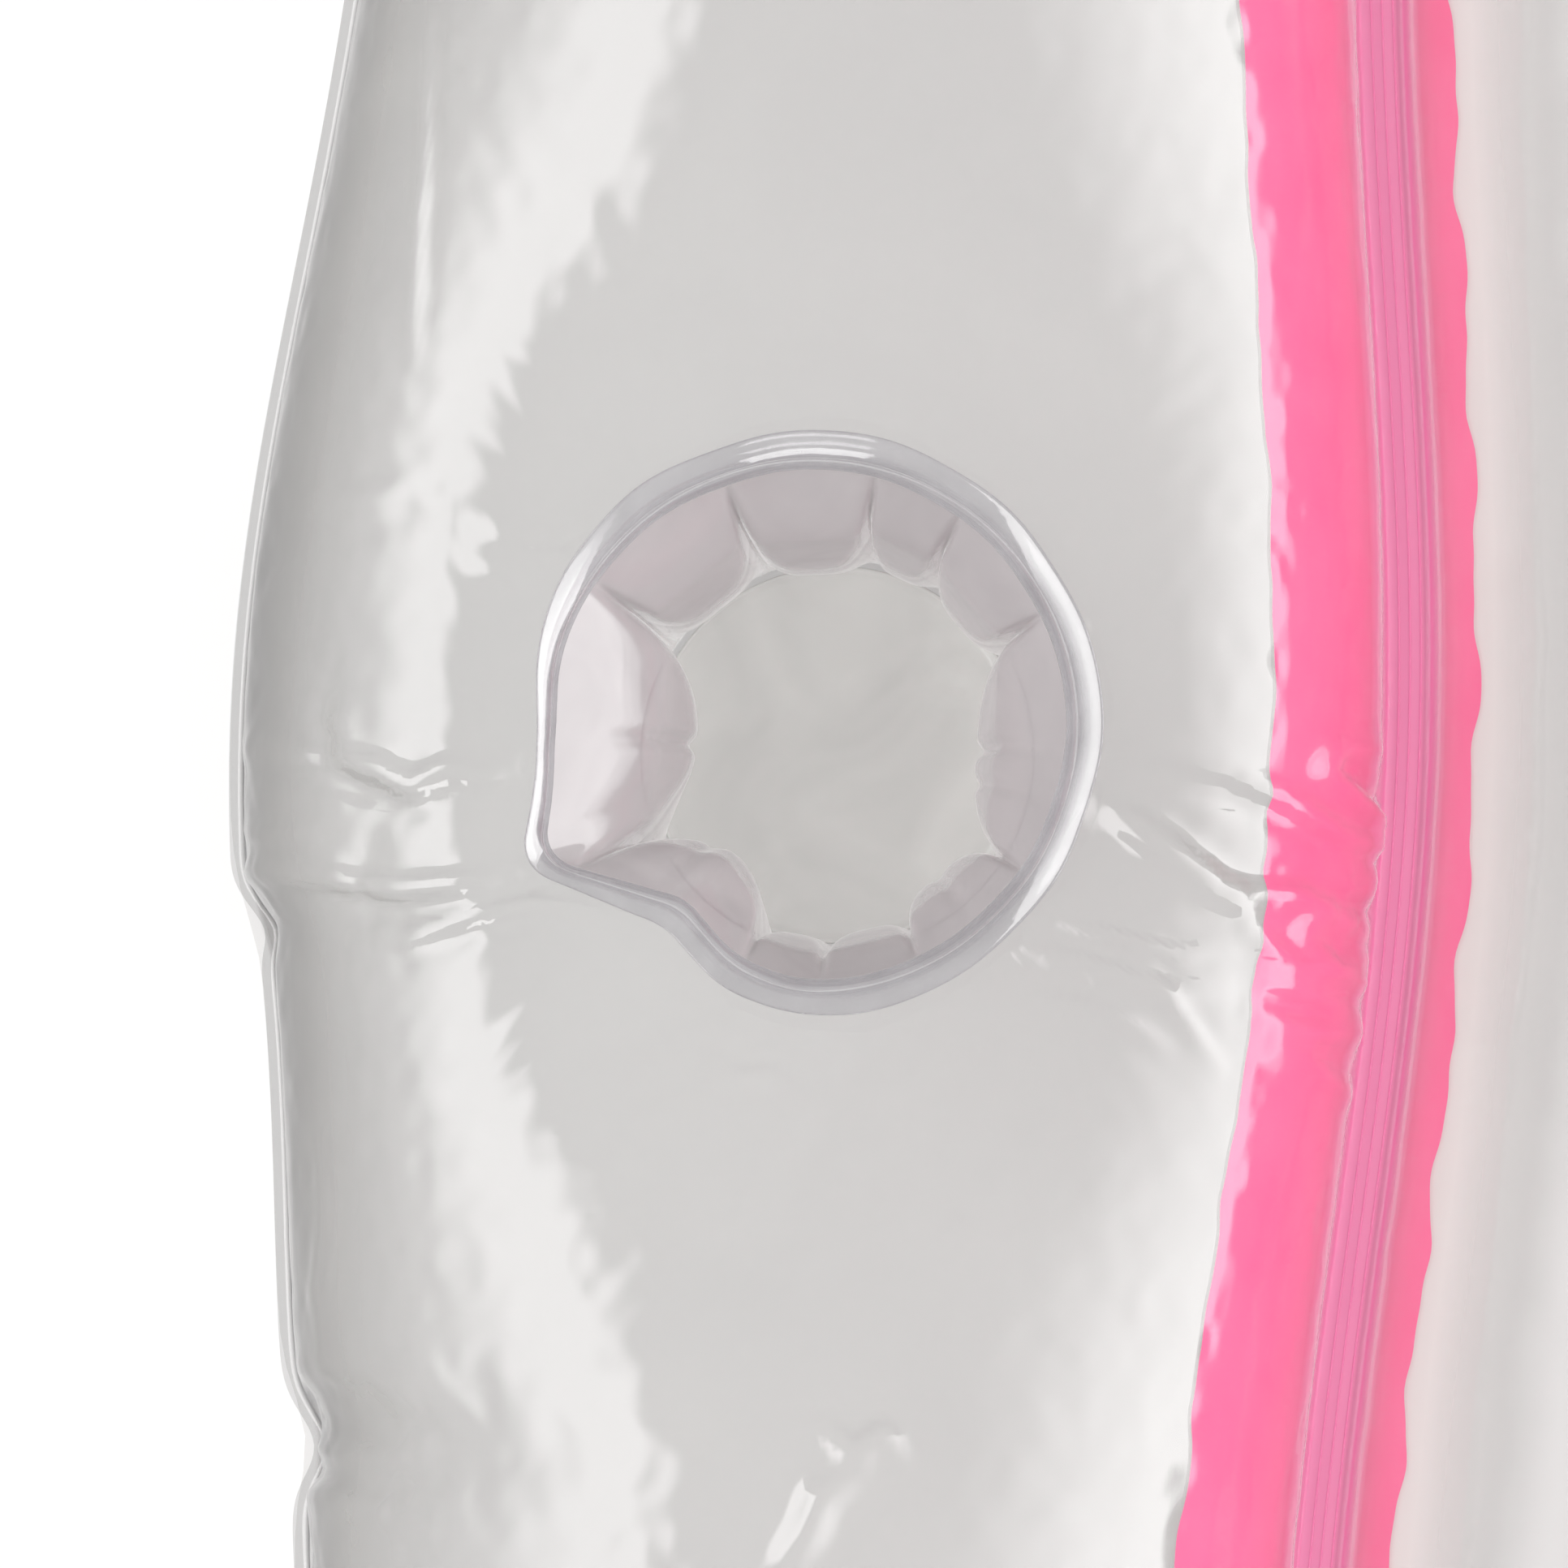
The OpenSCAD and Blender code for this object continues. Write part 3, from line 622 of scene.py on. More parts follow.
def any_ray(tree, first, second, third):
    """1 for light on any of three kinds of ray, and 0 for the rest."""
    light = add(tree, "ShaderNodeLightPath").outputs
    either = maths(tree, "MAXIMUM", light["Is %s Ray" % first], light["Is %s Ray" % second])
    return maths(tree, "MAXIMUM", either, light["Is %s Ray" % third])


def let_through(tree, share):
    """1 for what is looked at, and share for shadows and reflections, so that light gets through."""
    return ramp(tree, any_ray(tree, "Shadow", "Diffuse", "Glossy"), levels=(1.0, share))


def seen_ray(tree):
    """1 for what the camera sees, directly, in a reflection or through a film."""
    return any_ray(tree, "Camera", "Glossy", "Transmission")


def film_surface(tree, place, colour, roughness, index, alpha, ripple_mm, strength, lift):
    """Ends a tree with a film whose slow ripples bend every reflection."""
    ripple = noise(tree, place, ripple_mm, 3.0)
    bump = add(tree, "ShaderNodeBump", {"Height": ripple, "Strength": strength, "Distance": lift * MM})
    shader = add(tree, "ShaderNodeBsdfPrincipled", {
        "Base Color": colour, "Roughness": roughness, "IOR": index, "Alpha": alpha,
        "Normal": bump.outputs["Normal"]})
    add(tree, "ShaderNodeOutputMaterial", {"Surface": shader.outputs["BSDF"]})


EDGE_ON = 0.86              # how far a film is turned away where it counts as seen edge on
HAZE = 0.05                 # how much rougher the cloudier places of a film are
FILM_SHADE = 0.35           # share of the clear film that is there for shadows and reflections
PINK_SHADE = 0.4            # and of the pink one
PINK_SOLID = 0.9            # how far the pink film hides what is below it
PINK_CLOUD_MM = 25.0
PINK_RIPPLE_MM = 100 / 3
PINK_LIFT = 0.8
WELD_PAINTED_LIGHT = (6.5, 4.5)      # from the middle of the weld: where the painted light over the valley's shade starts, where it is full
PRESS_LINE = 2.8            # place of the deeper line beside the middle of the weld
PRESS_LINE_W = (0.2, 0.8)   # from its own middle: where it is full, where it ends
PRESS_LINE_SHARE = 0.6


def film_finish(name, dark, light, facing, grazing, index, gloss, cloud_mm, ripple_mm, lift, low=None):
    """Soft clear PVC, calendered to a mirror gloss. It shows little of its own colour face on and turns
    grey where it is seen edge on. Only a share of it is there to shine, so its index stands above the
    1.54 of PVC. Most light goes through to what is below. low is painted shade or painted light: a
    colour painted over the film further down, and the heights where that starts and is full."""
    made, tree = finish_tree(name)
    place = add(tree, "ShaderNodeTexCoord").outputs["Object"]
    cloud = noise(tree, place, cloud_mm, distortion=1.2)
    colour = tint(tree, cloud, dark, light)
    # Painted shade or painted light by height: further down, the film takes on the low colour
    if low:
        height = add(tree, "ShaderNodeSeparateXYZ", {"Vector": place}).outputs["Z"]
        sunk = ramp(tree, height, (low[1] * MM, low[2] * MM))
        colour = tint(tree, sunk, colour, low[0])
    tilt = add(tree, "ShaderNodeLayerWeight", {"Blend": 0.5}).outputs["Facing"]
    solid = ramp(tree, tilt, (0.0, EDGE_ON), (facing, grazing), "SMOOTHSTEP")
    alpha = maths(tree, "MULTIPLY", solid, let_through(tree, FILM_SHADE))
    haze = ramp(tree, cloud, levels=(gloss, gloss + HAZE))
    film_surface(tree, place, colour, haze, index, alpha, ripple_mm, 0.25, lift)
    return made


CLEAR = {"dark": "#7a7976", "light": "#979692", "cloud_mm": 60, "ripple_mm": 45, "lift": 1.0}
# The clear film darkens towards near black from 98 mm down to 76 mm high: painted shade that gives the
# rails' lower flanks their dark edge, and darkens every low piece of this film
clear_film = film_finish("clear_pvc_film", **CLEAR, facing=0.32, grazing=0.9, index=2.2, gloss=0.03,
                         low=("#242326", 98, 76))
# The bed's film turns near white from 108 mm down to 92 mm high: painted light and painted reflection in the
# valleys between its tubes
bed_film = film_finish("clear_pvc_bed_film", **CLEAR, facing=0.3, grazing=0.62, index=2.2, gloss=0.03,
                       low=("#f4f1ec", 108, 92))
under_film = film_finish("clear_pvc_under_film", **CLEAR, facing=0.22, grazing=0.7, index=1.25, gloss=0.3)
# The sleeve turns near white from 65 mm down to 15 mm high: a painted highlight, standing in for the lamps'
# reflection on its lower wall between the lobes
sleeve_film = film_finish("milky_pvc_film", "#a19a9c", "#bbb4b6", facing=0.8, grazing=0.94, index=1.6,
                          gloss=0.06, cloud_mm=25, ripple_mm=14, lift=0.4, low=("#f2f1ef", 65, 15))
base_film = film_finish("frosted_pvc_disc", "#94948e", "#e6e6e0", facing=0.48, grazing=0.8, index=1.7,
                        gloss=0.15, cloud_mm=34, ripple_mm=26, lift=2.0)
rim_film = film_finish("clear_pvc_ring", "#78757b", "#b0aeb2", facing=0.34, grazing=0.92, index=2.6,
                       gloss=0.04, cloud_mm=14, ripple_mm=12, lift=0.4)
valve_plastic = film_finish("soft_moulded_pvc", "#c8c9cb", "#e2e3e4", facing=0.55, grazing=0.9, index=1.7,
                            gloss=0.22, cloud_mm=4, ripple_mm=1.5, lift=0.05)


def pink_finish():
    """PVC film tinted in the mass: strong colour that still lets light through, painted paler over the weld
    as painted light against the shade at the bottom of the valley, with one deeper line where the edge of
    the hot bar pressed most."""
    made, tree = finish_tree("pink_pvc_film")
    coords = add(tree, "ShaderNodeTexCoord").outputs
    beside = add(tree, "ShaderNodeSeparateXYZ", {"Vector": coords["UV"]}).outputs["X"]
    cloud = noise(tree, coords["Object"], PINK_CLOUD_MM)
    body = tint(tree, cloud, "#f0528c", "#f4709f")
    # Painted light: the strip is paler over the weld, to lift the shade at the bottom of the valley
    painted_valley_light = ramp(tree, maths(tree, "ABSOLUTE", beside), (WELD_PAINTED_LIGHT[0] * MM, WELD_PAINTED_LIGHT[1] * MM))
    body = tint(tree, painted_valley_light, body, "#ff8cc0")
    from_line = maths(tree, "ABSOLUTE", maths(tree, "SUBTRACT", beside, PRESS_LINE * MM))
    line = ramp(tree, from_line, (PRESS_LINE_W[0] * MM, PRESS_LINE_W[1] * MM), (PRESS_LINE_SHARE, 0.0))
    colour = tint(tree, line, body, "#d25f92")
    alpha = maths(tree, "MULTIPLY", PINK_SOLID, let_through(tree, PINK_SHADE))
    film_surface(tree, coords["Object"], colour, 0.09, 1.54, alpha, PINK_RIPPLE_MM, 0.3, PINK_LIFT)
    return made


pink_film = pink_finish()


# Blown chambers

def across(low, high, turns, low_margin, high_margin):
    """Columns over one tube at every row, with its margins."""
    middle = ((low + high) / 2)[:, None]
    half = ((high - low) / 2)[:, None]
    margin = np.array([1.0, 0.5])
    return np.hstack([low[:, None] - low_margin * margin,
                      middle + half * np.sin(np.radians(turns)),
                      high[:, None] + high_margin * margin[::-1]])


END_ROWS = END_ROUND * (1 - np.cos(np.radians(np.linspace(0, 90, 22))))


def along(step, *changes):
    """Rows from the foot to the fold, close at both ends; changes are places where the step changes."""
    between = spaced([(FOOT + END_ROUND, step), *changes, (HEAD - END_ROUND, 1.0)])
    margin = np.array([END_MARGIN, END_MARGIN / 2])
    return np.concatenate([FOOT - margin, FOOT + END_ROWS, between[1:-1],
                           HEAD - END_ROWS[::-1], HEAD + margin[::-1]])


def rows_over(rows, x):
    """The rows of a film as a grid that goes with its columns x."""
    return np.repeat(rows[:, None], x.shape[1], 1)


def neck_hole(valve):
    """Opening for a valve's neck."""
    return (np.array(VALVES[valve]), lambda angle: np.full_like(angle, NECK_HOLE), *NECK_RINGS)


def welded_points(points, rims):
    """Points that a weld, the cup's rim or a valve holds in place."""
    flat = np.flatnonzero(points[:, 2] < SEAM + FILM + 0.01)
    return np.concatenate([flat] + list(rims))


def end_spare(points, middle, share):
    """The cut is wider than its end weld, so the film puckers there."""
    cut = points.copy()
    near = np.exp(-np.clip(end_d(points[:, 1]), 0, None) / END_SPARE_REACH)
    cut[:, 0] = middle + (points[:, 0] - middle) * (1 + share * near)
    return cut


def left_rail_cut(points):
    """Beside the cup the cut is longer than the rail, most of all towards the foot, and so it is
    over the fold in the outer weld."""
    cut = end_spare(points, SHIFT - RAIL_MIDDLE, RAIL_SPARE)
    dy = points[:, 1] - CUP[1]
    longer = np.where(dy < 0, FOOT_SPARE, HEAD_SPARE)
    cut[:, 1] += np.clip(dy, -CUP_SPARE_REACH, CUP_SPARE_REACH) * longer
    from_edge = np.clip(points[:, 0] - rail_edges(-1, points[:, 1])[0], 0, None)
    near_edge = np.exp(-from_edge / NOTCH_REACH)
    cut[:, 1] += -NOTCH_SPARE * near_edge * ease((NOTCH_FROM - dy) / NOTCH_RUN)
    return cut


def rim_hole(angle):
    """Edge of the film at the cup's rim."""
    return RIM_R + FILM_EDGE + rim_bend(angle)


def top_film(name, x, y, rise, openings, cut, finish, body, folded=False):
    """The upper film of a chamber, blown up; gives its points and their numbers by row and column."""
    points, faces, number, rims = film_quads(x, y, rise, openings)
    free = points[:, 2] > SEAM + START_FREE
    points += rng.normal(0, START_ROUGH, points.shape) * free[:, None]
    points = blow_up(points, faces, welded_points(points, rims), cut(points))
    if folded:
        fine, fine_faces = finer(points, faces)
        made = piece(name, fold(fine, fine_faces), fine_faces.tolist(), finish, body,
                     [name + "_film"])
    else:
        made = piece(name, points, faces, finish, body, [name + "_film"], 1)
    return points, number


RAIL_TURNS = np.linspace(-90, 90, 91)
BROAD_TURNS = np.linspace(-90, 90, 41)
TUBE_TURNS = np.linspace(-90, 90, 21)

rail_rows = along(12.0, (CUP[1] - 165, 2.8), (CUP[1] + 150, 12.0))
left_x = across(*rail_edges(-1, rail_rows), RAIL_TURNS, SIDE_MARGIN, WELD / 2)
left_top = top_film("left_rail_top", left_x, rows_over(rail_rows, left_x), lambda x, y: rail_rise(-1, x, y),
                    [(CUP, rim_hole, *CUP_RINGS), neck_hole("left_rail")], left_rail_cut,
                    clear_film, "mat", True)

right_rows = along(14.0)
right_x = across(*rail_edges(1, right_rows), BROAD_TURNS, WELD / 2, SIDE_MARGIN)
right_top = top_film("right_rail_top", right_x, rows_over(right_rows, right_x),
                     lambda x, y: rail_rise(1, x, y), [neck_hole("right_rail")],
                     lambda points: end_spare(points, SHIFT + RAIL_MIDDLE, RAIL_SPARE), clear_film, "mat")


def bed_columns(rows, turns):
    """Columns over the four tubes at every row."""
    columns = []
    for k in range(TUBES):
        low, high = tube_edges(k, rows)
        wide = across(low + 0 * rows, high + 0 * rows, turns, WELD / 2, WELD / 2)
        columns.append(wide if k == 0 else wide[:, 1:])
    return np.hstack(columns)


bed_rows = along(14.0, (CUP[1] - 150, 6.0), (CUP[1] + 150, 14.0))
bed_x = bed_columns(bed_rows, TUBE_TURNS)
bed_top = top_film("bed_top", bed_x, rows_over(bed_rows, bed_x), lambda x, y: TUBE_RISE * bed_section(x, y),
                   [neck_hole("bed")], lambda points: end_spare(points, SHIFT, BED_SPARE), bed_film, "mat")


def lower_film(name, x, y, fall, body, nodes):
    """The film under a chamber: pressed flat where it lies on the floor."""
    points, faces, _, _ = film_quads(x, y, fall)
    points[:, 2] = np.maximum(OFF_FLOOR, 2 * SEAM - points[:, 2])
    made = piece(name, points, [f[::-1] for f in faces], under_film, body, nodes, 1)


LOW_TURNS = np.linspace(-90, 90, 25)
LOW_TUBE_TURNS = np.linspace(-90, 90, 17)
low_rows = along(24.0, (CUP[1] - 160, 12.0), (CUP[1] + 160, 24.0))
low_x = across(*rail_edges(-1, low_rows), LOW_TURNS, SIDE_MARGIN, WELD / 2)
lower_film("left_rail_bottom", low_x, rows_over(low_rows, low_x), lambda x, y: rail_fall(-1, x, y), "mat",
           ["left_rail_bottom_film", "left_rail_cup_bottom_film", "left_rail_head_bottom_film"])
low_x = across(*rail_edges(1, low_rows), LOW_TURNS, WELD / 2, SIDE_MARGIN)
lower_film("right_rail_bottom", low_x, rows_over(low_rows, low_x), lambda x, y: rail_fall(1, x, y), "mat",
           ["right_rail_bottom_film"])
low_x = bed_columns(low_rows, LOW_TUBE_TURNS)
lower_film("bed_bottom", low_x, rows_over(low_rows, low_x), lambda x, y: FLOOR_DROP * bed_section(x, y),
           "mat", ["bed_bottom_film"])


# Pillow

def pillow_grid(step, turns):
    """Columns and rows over the pillow, close at its rounded ends."""
    side = PILLOW_ROUND * (1 - np.cos(np.radians(np.linspace(0, 90, 26))))
    x = np.concatenate([[-END_MARGIN, -END_MARGIN / 2], side,
                        spaced([(PILLOW_ROUND, step), (PILLOW_HALF, 1.0)])[1:]])
    x = np.concatenate([x - PILLOW_HALF, PILLOW_HALF - x[-2::-1]]) + SHIFT
    far = pillow_edge(x)
    middle = (PILLOW_NEAR + far) / 2
    half = (far - PILLOW_NEAR) / 2
    rows = [np.full_like(x, FOLD_Y + FOLD_GAP), np.full_like(x, (FOLD_Y + PILLOW_NEAR) / 2)]
    rows += [middle + half * math.sin(math.radians(u)) for u in turns]
    rows += [far + END_MARGIN / 2, far + END_MARGIN]
    return np.repeat(x[None, :], len(rows), 0), np.array(rows)


def pillow_cut(points):
    """The pillow's cut is longer than its welds on all sides."""
    cut = points.copy()
    x, y = points[:, :2].T
    from_side = np.clip(PILLOW_HALF - np.abs(x - SHIFT), 0, None)
    from_long = np.clip(np.minimum(y - PILLOW_NEAR, pillow_edge(x) - y), 0, None)
    middle = (PILLOW_NEAR + pillow_edge(x)) / 2
    cut[:, 0] = SHIFT + (x - SHIFT) * (1 + LONG_SPARE * np.exp(-from_long / PILLOW_SPARE_REACH))
    cut[:, 1] = middle + (y - middle) * (1 + SIDE_SPARE * np.exp(-from_side / PILLOW_SPARE_REACH))
    return cut


top_film("pillow_top", *pillow_grid(13.0, np.linspace(-90, 90, 37)),
         lambda x, y: PILLOW_RISE * pillow_section(x, y), [neck_hole("pillow")], pillow_cut,
         clear_film, "pillow")
lower_film("pillow_bottom", *pillow_grid(26.0, LOW_TURNS),
           lambda x, y: FLOOR_DROP * pillow_section(x, y), "pillow", ["pillow_bottom_film"])


# Pink strips over the weld valleys

STRIP_END = 14.0            # how far a long strip stays from an end weld
STRIP_LIFT = 0.45           # how far a strip lies off the film below it
STRIP_EDGE = 0.6            # columns of the film by which an edge is drawn in
STRIP_WANDER = 0.28         # and by which it wanders
WANDER_LEN = 34.0           # millimetres from one bay of an edge to the next
CUP_EDGE = 0.4              # columns by which the edge on the cup's rail is drawn in, far from the cup
CUP_EDGE_DRAWN = 2.2        # and what the cup adds to that
FULL_TURN = 6.28            # radians
WAVES = ((0.55, FULL_TURN), (0.3, 11.3), (0.15, 23.0))      # share, turn over the length in radians
RAIL_CLIMB = 54.0           # how far round a rail's section a strip climbs, in degrees
TUBE_CLIMB = 60.0           # and round a bed tube's


def column(points, number, j, rows):
    """Column j of a settled film at other rows, as x and z."""
    line = points[number[:, j][number[:, j] >= 0]]
    line = line[np.argsort(line[:, 1])]
    x = np.interp(rows, line[:, 1], line[:, 0])
    z = np.interp(rows, line[:, 1], line[:, 2])
    return np.column_stack([x, z])


def wavy(rows, length, seed):
    """A slow unevenness from -1 to 1 along the rows."""
    phases = np.random.default_rng(seed).uniform(0, FULL_TURN, len(WAVES))
    return sum(share * np.sin(rows / length * turn + phase) for (share, turn), phase in zip(WAVES, phases))


def drawn_in(lines, share, held=4):
    """The lines along one side of a strip, moved so that the first begins share columns in."""
    lines = np.array(lines)
    moved = lines.copy()
    row = np.arange(len(share))
    for k in range(held):
        place = share + (held - share) * k / held
        before = np.clip(place.astype(int), 0, held - 1)
        part = (place - before)[:, None]
        moved[k] = lines[before, row] * (1 - part) + lines[before + 1, row] * part
    return list(moved)


def lay_strip(index, rows, left_film, left_columns, right_film, right_columns, left_edge=STRIP_EDGE):
    """A strip from a column of the film on its left to one of the film on its right, with edges that
    wander."""
    sides = []
    for film, columns, edge, seed in ((left_film, left_columns, left_edge, index),
                                      (right_film, right_columns[::-1], STRIP_EDGE, index + 9)):
        lines = [column(*film, j, rows) for j in columns]
        sides.append(drawn_in(lines, edge + STRIP_WANDER * wavy(rows, WANDER_LEN, seed)))
    section = np.array(sides[0] + sides[1][-2::-1])
    weld = section[len(sides[0]) - 1, :, 0]
    run = np.gradient(section, axis=0)
    normal = np.stack([-run[..., 1], run[..., 0]], -1)
    section += STRIP_LIFT * normal / np.linalg.norm(normal, axis=-1, keepdims=True)
    points = np.stack([section[..., 0], np.broadcast_to(rows, section.shape[:2]), section[..., 1]], -1)
    fine, faces = finer(points.transpose(1, 0, 2).reshape(-1, 3), grid_faces(len(rows), len(section)))
    uv = np.column_stack([fine[:, 0] - np.interp(fine[:, 1], rows, weld), fine[:, 1]]) * MM
    piece("seam_strip_%d_pink" % index, fold(fine, faces) if index == 1 else fine, faces.tolist(),
          pink_film, "mat", ["seam_strip_%d" % index], 0, uv)


long_rows = spaced([(FOOT + STRIP_END, 8.0), (CUP[1] - 170, 3.6), (CUP[1] + 170, 8.0),
                    (HEAD - STRIP_END, 1.0)])
short_rows = spaced([(FOOT + WELD_STOP, 9.0), (HEAD - WELD_STOP, 1.0)])
cup_rows = rail_rows[(rail_rows > FOOT + STRIP_END) & (rail_rows < HEAD - STRIP_END)]

# A film has two columns of margin at each edge, and the bed's tubes share one at each weld
rail_cols = left_x.shape[1]
bed_cols = bed_x.shape[1]
tube_cols = len(TUBE_TURNS) + 3
left_climb = int(np.abs(RAIL_TURNS - RAIL_CLIMB).argmin())
right_climb = int(np.abs(BROAD_TURNS - RAIL_CLIMB).argmin())
tube_climb = int(np.abs(TUBE_TURNS - TUBE_CLIMB).argmin())


def tube_start(k):
    """Number of the bed column where tube k leaves its left weld."""
    return 2 + k * tube_cols


lay_strip(1, cup_rows, left_top, range(left_climb, rail_cols), bed_top,
          range(0, 3 + len(TUBE_TURNS) - tube_climb), CUP_EDGE + CUP_EDGE_DRAWN * cup_pull(cup_rows))
for k in range(1, TUBES):
    middle = tube_start(k) - 2
    lay_strip(k + 1, short_rows, bed_top, range(tube_start(k - 1) + tube_climb, middle + 1),
              bed_top, range(middle, tube_start(k) + len(TUBE_TURNS) - tube_climb))
lay_strip(TUBES + 1, long_rows, bed_top, range(tube_start(TUBES - 1) + tube_climb, bed_cols),
          right_top, range(0, 2 + len(BROAD_TURNS) - right_climb))


# Cup holder

def cup_ring(angle, radius):
    """Places round the cup at a radius for each angle."""
    return np.column_stack([CUP[0] + radius * np.cos(angle), CUP[1] + radius * np.sin(angle)])


RIM_PROFILE = (     # out from the rim's radius, up from the film
    (0.4, -5.0), (-0.4, -3.0), (-1.2, -1.0), (-1.5, 0.6), (-1.2, 1.6), (-0.2, 2.8), (1.2, 3.8), (2.8, 4.6),
    (4.1, 5.1), (4.8, 5.4), (5.1, 5.2), (4.8, 4.6), (3.0, 3.9), (1.6, 3.0), (0.9, 1.5), (0.7, 0.0),
    (0.9, -5.0),
)
RIM_HEIGHT = 10.4           # height of that profile
RIM_RIPPLES = ((0.25, 5, 1.1), (0.16, 9, 0.3), (0.12, 14, 2.2))     # height, waves round the rim, phase
RIM_SINK = (2.5, 228.0, 22.0)       # how far the bent rim sinks, the angle of that and its reach
RIM_UPRIGHT = (0.5, 186.0, 36.0)    # share of its flare that it loses, the angle of that and its reach
RIPPLE_UP = 0.5             # share of a ripple that goes up as well as out
SLEEVE_GAP = 0.2            # how far the sleeve's ends stay from the rim and the base

angles = np.radians(np.arange(0, 360, 1.0))
count = len(angles)


def rim_spot(most, at, reach):
    """What the rim has most of at one angle, and less of on both sides."""
    return most * bell(turn_to(angles, at) / reach)


ripple = sum(height * np.sin(waves * angles + phase) for height, waves, phase in RIM_RIPPLES)
bend = rim_bend(angles)
flare = 1 - rim_spot(*RIM_UPRIGHT)
sunk = rim_spot(*RIM_SINK)
rim_points = []
for out, up in RIM_PROFILE:
    share = (up + RIM_DOWN) / RIM_HEIGHT
    ring = cup_ring(angles, RIM_R + out * flare + bend + ripple * share)
    rim_up = CUP_Z + up - sunk * share + RIPPLE_UP * ripple * share
    rim_points.append(np.column_stack([ring, rim_up]))
rim_faces = grid_faces(len(RIM_PROFILE), count, True)
last = (len(RIM_PROFILE) - 1) * count
rim_faces += [[last + a, last + (a + 1) % count, (a + 1) % count, a] for a in range(count)]
piece("cup_rim_ring", np.vstack(rim_points), [f[::-1] for f in rim_faces], rim_film, "mat",
      ["cup_rim"], 1)

# The wall has the closest rows where its lobes press on each other
depths = spaced([(0.0, 0.02), (0.1, 0.008), (0.2, 0.025), (0.4, 0.035), (1.0, 1.0)])
sleeve_points = []
for q in depths:
    swell = np.interp(q, *np.array(SWELL).T)
    wall = (RIM_R - SLEEVE_GAP) * (1 - q) + (BASE_R - FILM) * q
    radius = wall + bend * (1 - q) ** 2 - lobe_depth(angles, q) * swell
    height = (CUP_Z - RIM_DOWN) * (1 - q) + (BASE_Z + SLEEVE_GAP) * q
    sleeve_points.append(np.column_stack([cup_ring(angles, radius), np.full(count, height)]))
piece("cup_sleeve_film", np.vstack(sleeve_points), grid_faces(len(depths), count, True), sleeve_film, "mat",
      ["cup_sleeve"], 1)


BASE_SHEET = [(radius, 0.0) for radius in (1, 4, 8, 12, 16, 20, 24, 28, 31)]    # radius, height
BASE_BEAD = [(32.2, 0.1), (32.7, 0.5), (33.1, 0.6), (33.4, 0.3), (33.5, -0.3)]
BASE_FLANGE = [(33.3, 0.0), (34.0, 0.1), (34.6, 0.1), (35.0, -0.2), (34.9, -0.8)]


def base_rings(profile):
    """Rings of the base, with the slow waves that its sheet has taken on inside its rim."""
    rings = []
    for radius, lift in profile:
        ring = cup_ring(angles, radius)
        x = ring[:, 0] - CUP[0]
        y = ring[:, 1] - CUP[1]
        wave = np.sin(x / WAVE_LEN + WAVE_SLANT * y + WAVE_BEND * np.sin(y / BEND_LEN))
        wave = wave * max(0.0, 1 - radius / WAVE_R)
        rings.append(np.column_stack([ring, BASE_Z + lift + WAVE_LIFT * wave]))
    return np.vstack(rings), [f[::-1] for f in grid_faces(len(profile), count, True)]


disc, disc_faces = base_rings(BASE_SHEET + BASE_BEAD)
piece("cup_base_disc", disc, disc_faces + [list(range(count))], base_film, "mat", ["cup_base"])
flange, flange_faces = base_rings(BASE_FLANGE)
piece("cup_base_flange", flange, flange_faces, clear_film, "mat")


# Weld ribs: the heated bar leaves fine ridges along every weld

def rib_tree():
    """Ridges side by side along a path, each swept from a round profile."""
    tree = bpy.data.node_groups.new("weld_ribs", "GeometryNodeTree")
    face = tree.interface
    for name, kind in (("Path", "NodeSocketGeometry"), ("Ribs", "NodeSocketInt"),
                       ("Pitch", "NodeSocketVector"), ("Radius", "NodeSocketFloat"),
                       ("Finish", "NodeSocketMaterial")):
        face.new_socket(name, in_out="INPUT", socket_type=kind)
    face.new_socket("Ribs", in_out="OUTPUT", socket_type="NodeSocketGeometry")
    given = add(tree, "NodeGroupInput").outputs
    path = add(tree, "GeometryNodeMeshToCurve", {"Mesh": given["Path"]})
    copies = add(tree, "GeometryNodeDuplicateElements", {"Geometry": path.outputs["Curve"],
                                                         "Amount": given["Ribs"]}, domain="SPLINE")
    half = maths(tree, "MULTIPLY", maths(tree, "SUBTRACT", given["Ribs"], 1.0), 0.5)
    place = maths(tree, "SUBTRACT", copies.outputs["Duplicate Index"], half)
    move = add(tree, "ShaderNodeVectorMath", {0: given["Pitch"], "Scale": place}, operation="SCALE")
    moved = add(tree, "GeometryNodeSetPosition", {"Geometry": copies.outputs["Geometry"],
                                                  "Offset": move.outputs["Vector"]})
    profile = add(tree, "GeometryNodeCurvePrimitiveCircle", {"Resolution": 6, "Radius": given["Radius"]})
    swept = add(tree, "GeometryNodeCurveToMesh", {"Curve": moved.outputs["Geometry"],
                                                  "Profile Curve": profile.outputs["Curve"],
                                                  "Fill Caps": True})
    whole = add(tree, "GeometryNodeRealizeInstances", {"Geometry": swept.outputs["Mesh"]})
    dressed = add(tree, "GeometryNodeSetMaterial", {"Geometry": whole.outputs["Geometry"],
                                                    "Material": given["Finish"]})
    add(tree, "NodeGroupOutput", {"Ribs": dressed.outputs["Geometry"]})
    return tree


ribs = rib_tree()


